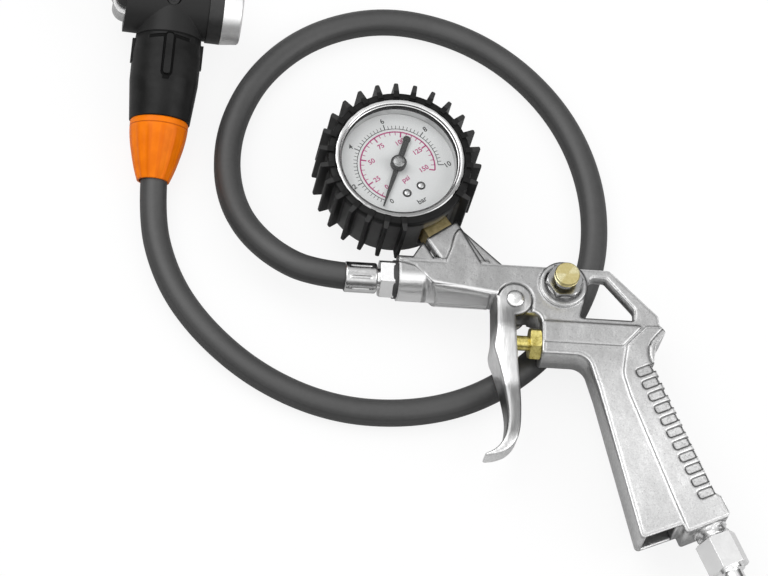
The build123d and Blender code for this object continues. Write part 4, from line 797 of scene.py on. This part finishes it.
def boot_cover():
    """Rubber boot: a lipped cup with a window for the stem, and fins round it."""
    bm = bmesh.new()
    back = [(BACK_HOLE_R, BOOT_BACK), (BOOT_R - 2, BOOT_BACK), (BOOT_R - 0.6, BOOT_BACK + 0.6),
            (BOOT_R, BOOT_BACK + 2)]
    front = [(BOOT_R, BOOT_FRONT - 5.5), (BOOT_LIP_R - 0.2, BOOT_FRONT - 4.7), (BOOT_LIP_R, BOOT_FRONT - 4.3),
             (BOOT_LIP_R, BOOT_FRONT - 1), (BOOT_LIP_R - 0.3, BOOT_FRONT - 0.3), (BOOT_LIP_R - 1, BOOT_FRONT),
             (BEZEL_GAP_R, BOOT_FRONT), (BEZEL_GAP_R, BEZEL_SEAT), (BOOT_BORE_R, BEZEL_SEAT)]
    floor_of = [(BOOT_BORE_R, BOOT_FLOOR), (BACK_HOLE_R, BOOT_FLOOR)]
    below = back + [(BOOT_R, -STEM_GAP), (BOOT_BORE_R, -STEM_GAP)] + floor_of
    above = [(BOOT_BORE_R, STEM_GAP), (BOOT_R, STEM_GAP)] + front
    half = degrees(STEM_GAP / BOOT_R)
    spun(bm, back + front + floor_of, STEM_ANGLE + half, 360 - 2 * half, 110, loop=True)
    spun(bm, below, STEM_ANGLE - half, 2 * half, 10, loop=True)
    spun(bm, above, STEM_ANGLE - half, 2 * half, 10, loop=True)
    root, tip = BOOT_R - 1.2, BOOT_RIB_R
    fin = ([(root, -1.5)] + fillet_points((tip - 0.7, -0.4), 0.7, -80, 0, 4)
           + fillet_points((tip - 0.7, 0.4), 0.7, 0, 80, 4) + [(root, 1.5)])
    for index in range(FINS):
        angle = FIRST_FIN + index * 360 / FINS
        from_stem = (angle - STEM_ANGLE + 180) % 360 - 180
        if BARE_FROM < from_stem < BARE_TO:
            continue
        made = slab(bm, fin, FIN_BACK, FIN_FRONT)
        carry(bm, made, turn(angle, "Z"))
    return finished("boot_cover", bm, GAUGE, "gun", "boot_rubber", ["gauge_boot"])


def bezel():
    """Rolled ring that holds the glass."""
    bm = bmesh.new()
    outer = [(30.05, BEZEL_SEAT), (31.75, BEZEL_SEAT), (32.0, BEZEL_SEAT + 0.25)]
    outer += fillet_points((30.9, 19.9), 1.1, 0, 90, 8)
    inner = fillet_points((30.4, 20.0), 1.0, 90, 165, 6) + [(29.2, 19.9), (28.8, 19.8)]
    spun(bm, outer + inner, steps=128)
    bmesh.ops.solidify(bm, geom=bm.faces[:], thickness=0.0002)
    return finished("bezel_ring", bm, GAUGE, "gun", "bezel_chrome", ["gauge_bezel"], sharp=60)


def case_throat():
    """Bright rim between the glass and the dial."""
    bm = bmesh.new()
    spun(bm, [(28.8, 16.7), (28.7, 16.75), (28.25, 12.6), (28.25, 12.1), (28.7, 12.1)], steps=128)
    return finished("case_throat", bm, GAUGE, "gun", "gauge_steel")


def lettering(bm, text, size, matrix):
    """Flat letters as a mesh, their middle at the matrix's origin."""
    words = bpy.data.curves.new("letters", "FONT")
    words.body, words.size = text, size * MM
    words.align_x, words.align_y = "CENTER", "CENTER"
    words.resolution_u = 3
    words.offset = 0.07 * MM
    holder = bpy.data.objects.new("letters", words)
    scene.collection.objects.link(holder)
    mesh = bpy.data.meshes.new_from_object(holder)
    mesh.transform(matrix)
    bm.from_mesh(mesh)
    bpy.data.objects.remove(holder)
    bpy.data.curves.remove(words)
    bpy.data.meshes.remove(mesh)


def mark(bm, angle, near, far, width, height):
    """Straight tick on the dial."""
    made = bmesh.ops.create_grid(bm, x_segments=1, y_segments=1, size=0.5)["verts"]
    size = Matrix.Diagonal(((far - near) * MM, width * MM, 1, 1))
    carry(bm, made, turn(angle, "Z") @ shift((near + far) / 2, 0, height) @ size)


def dial_prints():
    """Two scales that run clockwise from one zero: bar outside and psi inside."""
    upright = turn(UPRIGHT, "Z")
    top = DIAL_TOP + 0.03

    def bar_way(value):
        return ZERO_ANGLE - BAR_ANGLE * value

    def psi_way(value):
        return ZERO_ANGLE - PSI_ANGLE * value

    dark, red = bmesh.new(), bmesh.new()
    spun(dark, [(19.8, top), (20.15, top)], bar_way(10), bar_way(0.4) - bar_way(10), 120)
    for step in range(2, 51):
        major = step % 10 == 0
        mark(dark, bar_way(step / 5), 20, 22.8 if major else 21.8, 0.5 if major else 0.3, top)
    spun(red, [(18.0, top), (18.7, top)], psi_way(150), psi_way(5) - psi_way(150), 120)
    for step in range(1, 31):
        major = step % 5 == 0 or step == 1
        mark(red, psi_way(step * 5), 15.5 if major else 16.5, 18.3, 0.7 if major else 0.36, top)

    def at(angle, radius):
        return shift(radius * cos(radians(angle)), radius * sin(radians(angle)), top) @ upright

    for value in (2, 4, 6, 8, 10):
        lettering(dark, str(value), 3.7, at(bar_way(value), 24.7))
    lettering(dark, "0", 3.4, at(262, 19.6))
    lettering(dark, "bar", 3.7, shift(12, -18, top) @ upright)
    for value in (25, 50, 75, 100, 125, 150):
        lettering(red, str(value), 3.45, at(psi_way(value), 12.9))
    lettering(red, "0", 3.4, at(246, 13.0))
    lettering(red, "psi", 3.7, shift(4, -7, top) @ upright)
    finished("dial_print_dark", dark, GAUGE, "gun", "dark_ink", facing=False)
    finished("dial_print_magenta", red, GAUGE, "gun", "magenta_ink", facing=False)


def dial_rivets():
    """Domed rivets that hold the dial, each in a dark ring."""
    heads, rings = bmesh.new(), bmesh.new()
    for angle in (-41, -72):
        where = turn(angle, "Z") @ shift(15.2, 0, DIAL_TOP)
        made = spun(heads, [(0, -1.7), (1.0, -1.7), (1.0, 0), (1.5, 0), (1.5, 0.3), (1.3, 0.5), (0.8, 0.62),
                            (0.4, 0.66), (0, 0.67)], steps=32)
        carry(heads, made, where)
        made = spun(rings, [(1.52, 0.5), (1.85, 0.55), (2.1, 0.3), (2.2, 0.03)], steps=32)
        carry(rings, made, where)
    finished("dial_rivets", heads, GAUGE, "gun", "screw_steel", ["dial_screws"])
    finished("dial_rivet_rings", rings, GAUGE, "gun", "dark_ink")


def pointer_cap():
    """The pointer's boss and the bright disc on it."""
    hub, cap = bmesh.new(), bmesh.new()
    top = DIAL_TOP + 5.0
    spun(hub, [(0, top - 1.7), (3.9, top - 1.7), (3.9, top - 0.6), (3.6, top - 0.2), (3.1, top - 0.1),
               (2.9, top - 0.4), (0, top - 0.4)], steps=48)
    spun(cap, [(2.85, top - 0.35), (2.8, top - 0.1), (2.4, top + 0.1), (1.4, top + 0.24), (0, top + 0.28)],
         steps=48)
    finished("pointer_hub", hub, GAUGE, "pointer", "pointer_black")
    finished("pointer_cap", cap, GAUGE, "pointer", "cap_steel")


boot_cover()
bezel()
case_throat()
dial_prints()
dial_rivets()
pointer_cap()


# ---------------------------------------------------------------- gun's small parts
BARREL_END = 56.5                           # along the barrel's Z
WASHER, NUT, BARB = 1.5, 7.3, 1.2           # lengths between the barrel's end and the ferrule
CHEEK_IN, CHEEK_OUT = 8.2, 10.4             # faces of the lever's cheeks, from its middle
EAR_R = 8.3                                 # lever's round ear
FLUTE_START, COLLAR_END = 64.0, 90.2        # along the chuck's handle


def crimped_ferrule():
    """Shell pressed on the hose by eight jaws."""
    bm = bmesh.new()
    length, radius = 15.7, 7.45
    jaw_pitch, jaw_half, pressed = 360 / 8, 6.5, 0.45
    outline = [(5.1, 2), (5.1, 0), (radius - 1.1, 0)] + fillet_points((radius - 1.1, 1.1), 1.1, -90, 0, 4)
    outline += [(radius, 1.1 + i * (length - 1.7) / 24) for i in range(1, 25)]
    outline += [(radius - 0.2, length - 0.25), (radius - 0.5, length), (6.75, length), (6.75, 2), (5.1, 2)]
    made = spun(bm, outline, steps=160)
    for vert in made:
        x, y, z = vert.co
        reach = (x * x + y * y) ** 0.5
        if reach > 6.9 * MM:
            angle = (degrees(atan2(y, x)) + 360) % jaw_pitch - jaw_pitch / 2
            inside = min(max((z / MM - 2.2) / 1.2, 0), 1) * min(max((length - 2.0 - z / MM) / 1.2, 0), 1)
            groove = max(0.0, 1 - (angle / jaw_half) ** 2) ** 0.5
            vert.co.xy *= 1 - pressed * MM * groove * inside / reach
    start = BARREL @ shift(0, 0, BARREL_END + WASHER + NUT + BARB)
    finished("crimped_ferrule", bm, start, "gun", "ferrule_steel", ["hose_ferrule"], sharp=50)


def rivet():
    """Domed heads of the pivot rivet, one on each ear of the lever."""
    bm = bmesh.new()
    face = CHEEK_OUT + 0.1
    head = [(0, face), (4.6, face), (4.6, face + 0.4), (4.3, face + 0.9), (3.6, face + 1.35),
            (2.5, face + 1.65), (1.2, face + 1.78), (0, face + 1.8)]
    for angle in (0, 180):
        carry(bm, spun(bm, head, steps=64), turn(angle, "X"))
    finished("rivet_heads", bm, GUN, "gun", "rivet_steel", ["trigger_rivet"])


def smooth_line(points, steps=6):
    """Points of a soft line that passes through the given ones."""
    line = []
    ends = [points[0], *points, points[-1]]
    for a, b, c, d in zip(ends, ends[1:], ends[2:], ends[3:]):
        for i in range(steps):
            t = i / steps
            line.append(tuple(0.5 * (2 * q + (r - p) * t + (2 * p - 5 * q + 4 * r - s) * t * t
                                     + (3 * q - p - 3 * r + s) * t ** 3) for p, q, r, s in zip(a, b, c, d)))
    return line + [points[-1]]


def inward(outline, depths):
    """An outline moved to its inner side, by a depth of its own at each point."""
    moved = []
    for i, (x, y) in enumerate(outline):
        (px, py), (qx, qy) = outline[i - 1], outline[(i + 1) % len(outline)]
        way = Vector((qx - px, qy - py)).normalized()
        moved.append((x - way.y * depths[i], y + way.x * depths[i]))
    return moved


def trigger_lever():
    """Pressed lever: two cheeks round the pivot, a rounded front and a thin curled tip."""
    rear = smooth_line([(0.4, -7.6), (0.9, -20), (1.6, -34.5), (2.8, -48), (3.1, -58), (2.6, -66), (0.8, -72),
                        (-3.4, -76.9), (-8.6, -79.4), (-13.2, -80.3)])
    front = smooth_line([(-13.6, -78.9), (-9.6, -76.6), (-6.4, -73), (-4.2, -67), (-3.6, -58), (-5.4, -46),
                         (-8.6, -33), (-10.8, -25), (-9.7, -16), (-9.6, 1.9)])
    ear = [(EAR_R * cos(radians(a)), EAR_R * sin(radians(a))) for a in range(166, -88, -6)]
    curl = [(-14.1, -80.0), (-14.2, -79.4)]
    outline = (rear + curl + front + ear)[::-1]         # runs anticlockwise
    count_ear, count_front = len(ear), len(front)
    rounds = []
    for index, (x, y) in enumerate(outline):
        if index < count_ear:
            rounds.append(0.5)
        elif index < count_ear + count_front:
            rounds.append(2.1 * min(1, max(0.3, (y + 80) / 14)) * (1 if y < 0 else 0.25))
        else:
            rounds.append(0.6 if y < -70 else 1.0)
    bm = bmesh.new()

    def narrow(y):
        """Share of its full width that the lever keeps; it narrows towards its tip."""
        return 1 - 0.48 * min(1, max(0, (-28 - y) / 52))

    def layer(shape, z):
        """Loop of corners at one height, and its edges."""
        corners = [bm.verts.new((x * MM, y * MM, z * narrow(y) * MM)) for x, y in shape]
        return corners, [bm.edges.new(pair) for pair in zip(corners, corners[1:] + corners[:1])]

    for side in (1, -1):
        layers = []
        for share in (0, 0.35, 0.6, 0.8, 0.93, 1.0):
            drop = 1 - (1 - share ** 2) ** 0.5
            depths = [max(0, r * drop) for r in rounds]
            across = CHEEK_IN + (CHEEK_OUT - CHEEK_IN) * share
            layers.append(layer(inward(outline, depths), side * across))
        for low, high in zip(layers, layers[1:]):
            bmesh.ops.bridge_loops(bm, edges=low[1] + high[1])
        bm.faces.new(layers[0][0])
        bm.faces.new(layers[-1][0])
    rear_low = [p for p in rear if p[1] < -36]
    core = [(-6.9, 1.9), (-6.9, -6), (-5.4, -12), (-5.4, -36), (1.7, -36)] + rear_low + curl + front
    low, high = layer(core, -CHEEK_IN), layer(core, CHEEK_IN)
    bmesh.ops.bridge_loops(bm, edges=low[1] + high[1])
    bm.faces.new(low[0])
    bm.faces.new(high[0])
    finished("trigger_lever", bm, GUN, "trigger", "trigger_aluminium", ["trigger"], sharp=40)


def collar():
    """Soft orange end of the chuck, with faint flutes."""
    bm = bmesh.new()
    outer = smooth_line([(14.36, 60.7), (14.3, 64), (13.85, 68.2), (13.12, 72.5), (12.17, 76.6), (11.1, 80.8),
                         (10.0, 84.6), (8.9, 87.8), (8.0, COLLAR_END)], 4)
    bore = [(6.9, COLLAR_END), (6.9, 72.4), (11.25, 72.4), (11.25, 60.2)]
    made = spun(bm, [(11.25, 60.2), (14.1, 60.2)] + outer + bore, steps=156)
    for vert in made:
        x, y, z = vert.co
        reach = (x * x + y * y) ** 0.5
        if reach > 7.9 * MM and z > FLUTE_START * MM:
            fade = min((z / MM - FLUTE_START) / 5, 1) * min((COLLAR_END - z / MM) / 3, 1)
            vert.co.xy *= 1 - 0.28 * MM * max(0, sin(FLUTES * atan2(y, x))) * fade / reach
    finished("chuck_collar_soft", bm, HANDLE, "gun", "orange_plastic", ["chuck_collar"], sharp=50)


def outlet_seal():
    """Dark sealing ring squeezed between the outlet's nut and the barrel, made wide enough to stand also as a
    dark sheet for the shade in the gap between them.
    """
    bm = bmesh.new()
    edge = fillet_points((9.0, 57.0), 0.4, -90, 0, 4) + fillet_points((8.6, 58.3), 0.8, 0, 90, 5)
    spun(bm, [(6.1, 56.55)] + edge + [(6.1, 59.1), (6.1, 56.55)], steps=96)
    finished("outlet_seal", bm, BARREL, "gun", "dark_washer", ["outlet_washer"], sharp=50)


def tower_web():
    """Flat web between the tower's edge and the top of the barrel."""
    bm = bmesh.new()
    for side in (1, -1):
        for x, y, z in ((-44.6, 28.4, 8.6), (-38.0, 17.6, 8.6), (-45.4, 27.6, 8.6), (-51.4, 17.6, 8.6)):
            bm.verts.new((x * MM, y * MM, side * z * MM))
    bmesh.ops.convex_hull(bm, input=bm.verts[:])
    finished("tower_web", bm, GUN, "gun", "cast_aluminium", sharp=20)


def sealant():
    """Sealing compound squeezed out round the inlet's neck."""
    bm = bmesh.new()
    outline = [(6.2, 0.3), (7.4, 0.5), (7.9, 1.6), (7.6, 3.0), (7.9, 4.2), (7.3, 5.4), (6.2, 5.7)]
    made = spun(bm, outline, steps=64)
    for vert in made:
        angle, z = atan2(vert.co.y, vert.co.x), vert.co.z / MM
        vert.co.xy *= 1 + 0.05 * sin(angle * 5 + z * 1.3) + 0.03 * sin(angle * 11 - z * 2.1)
    finished("thread_sealant", bm, INLET, "gun", "rivet_steel", sharp=80)


def spring(name, node, place, coil_r, wire_r, length, turns):
    """Compression spring, standing on its fixed end."""
    bm = bmesh.new()
    steps = turns * 40
    ways = [radians(angle) for angle in range(0, 360, 36)]
    section = [bm.verts.new(((coil_r + wire_r * cos(way)) * MM, 0, wire_r * (1 + sin(way)) * MM))
               for way in ways]
    edges = [bm.edges.new(pair) for pair in zip(section, section[1:] + section[:1])]
    bm.faces.new(section)
    bmesh.ops.spin(bm, geom=section + edges, cent=(0, 0, 0), axis=(0, 0, 1), angle=radians(360 * turns),
                   steps=steps, dvec=(0, 0, (length - 2 * wire_r) * MM / steps), use_merge=False)
    bmesh.ops.holes_fill(bm, edges=[e for e in bm.edges if e.is_boundary])
    piece = finished(name, bm, place, "gun", "spring_steel", [node], sharp=60)
    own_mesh(piece)


spring("valve_coil", "valve_spring", VALVE, 3.3, 0.4, 12.69, 6)
spring("bleed_coil", "bleed_spring", BLEED_NUT, 2.9, 0.35, 2.8, 2)
crimped_ferrule()
rivet()
trigger_lever()
outlet_seal()
tower_web()
sealant()
collar()

# ---------------------------------------------------------------- hose's finish and the view
dress(rubber_hose, "gun", "hose_rubber", ["hose"])
tuple(HOSE_POINTS[0])

scene.view_settings.view_transform = "Standard"
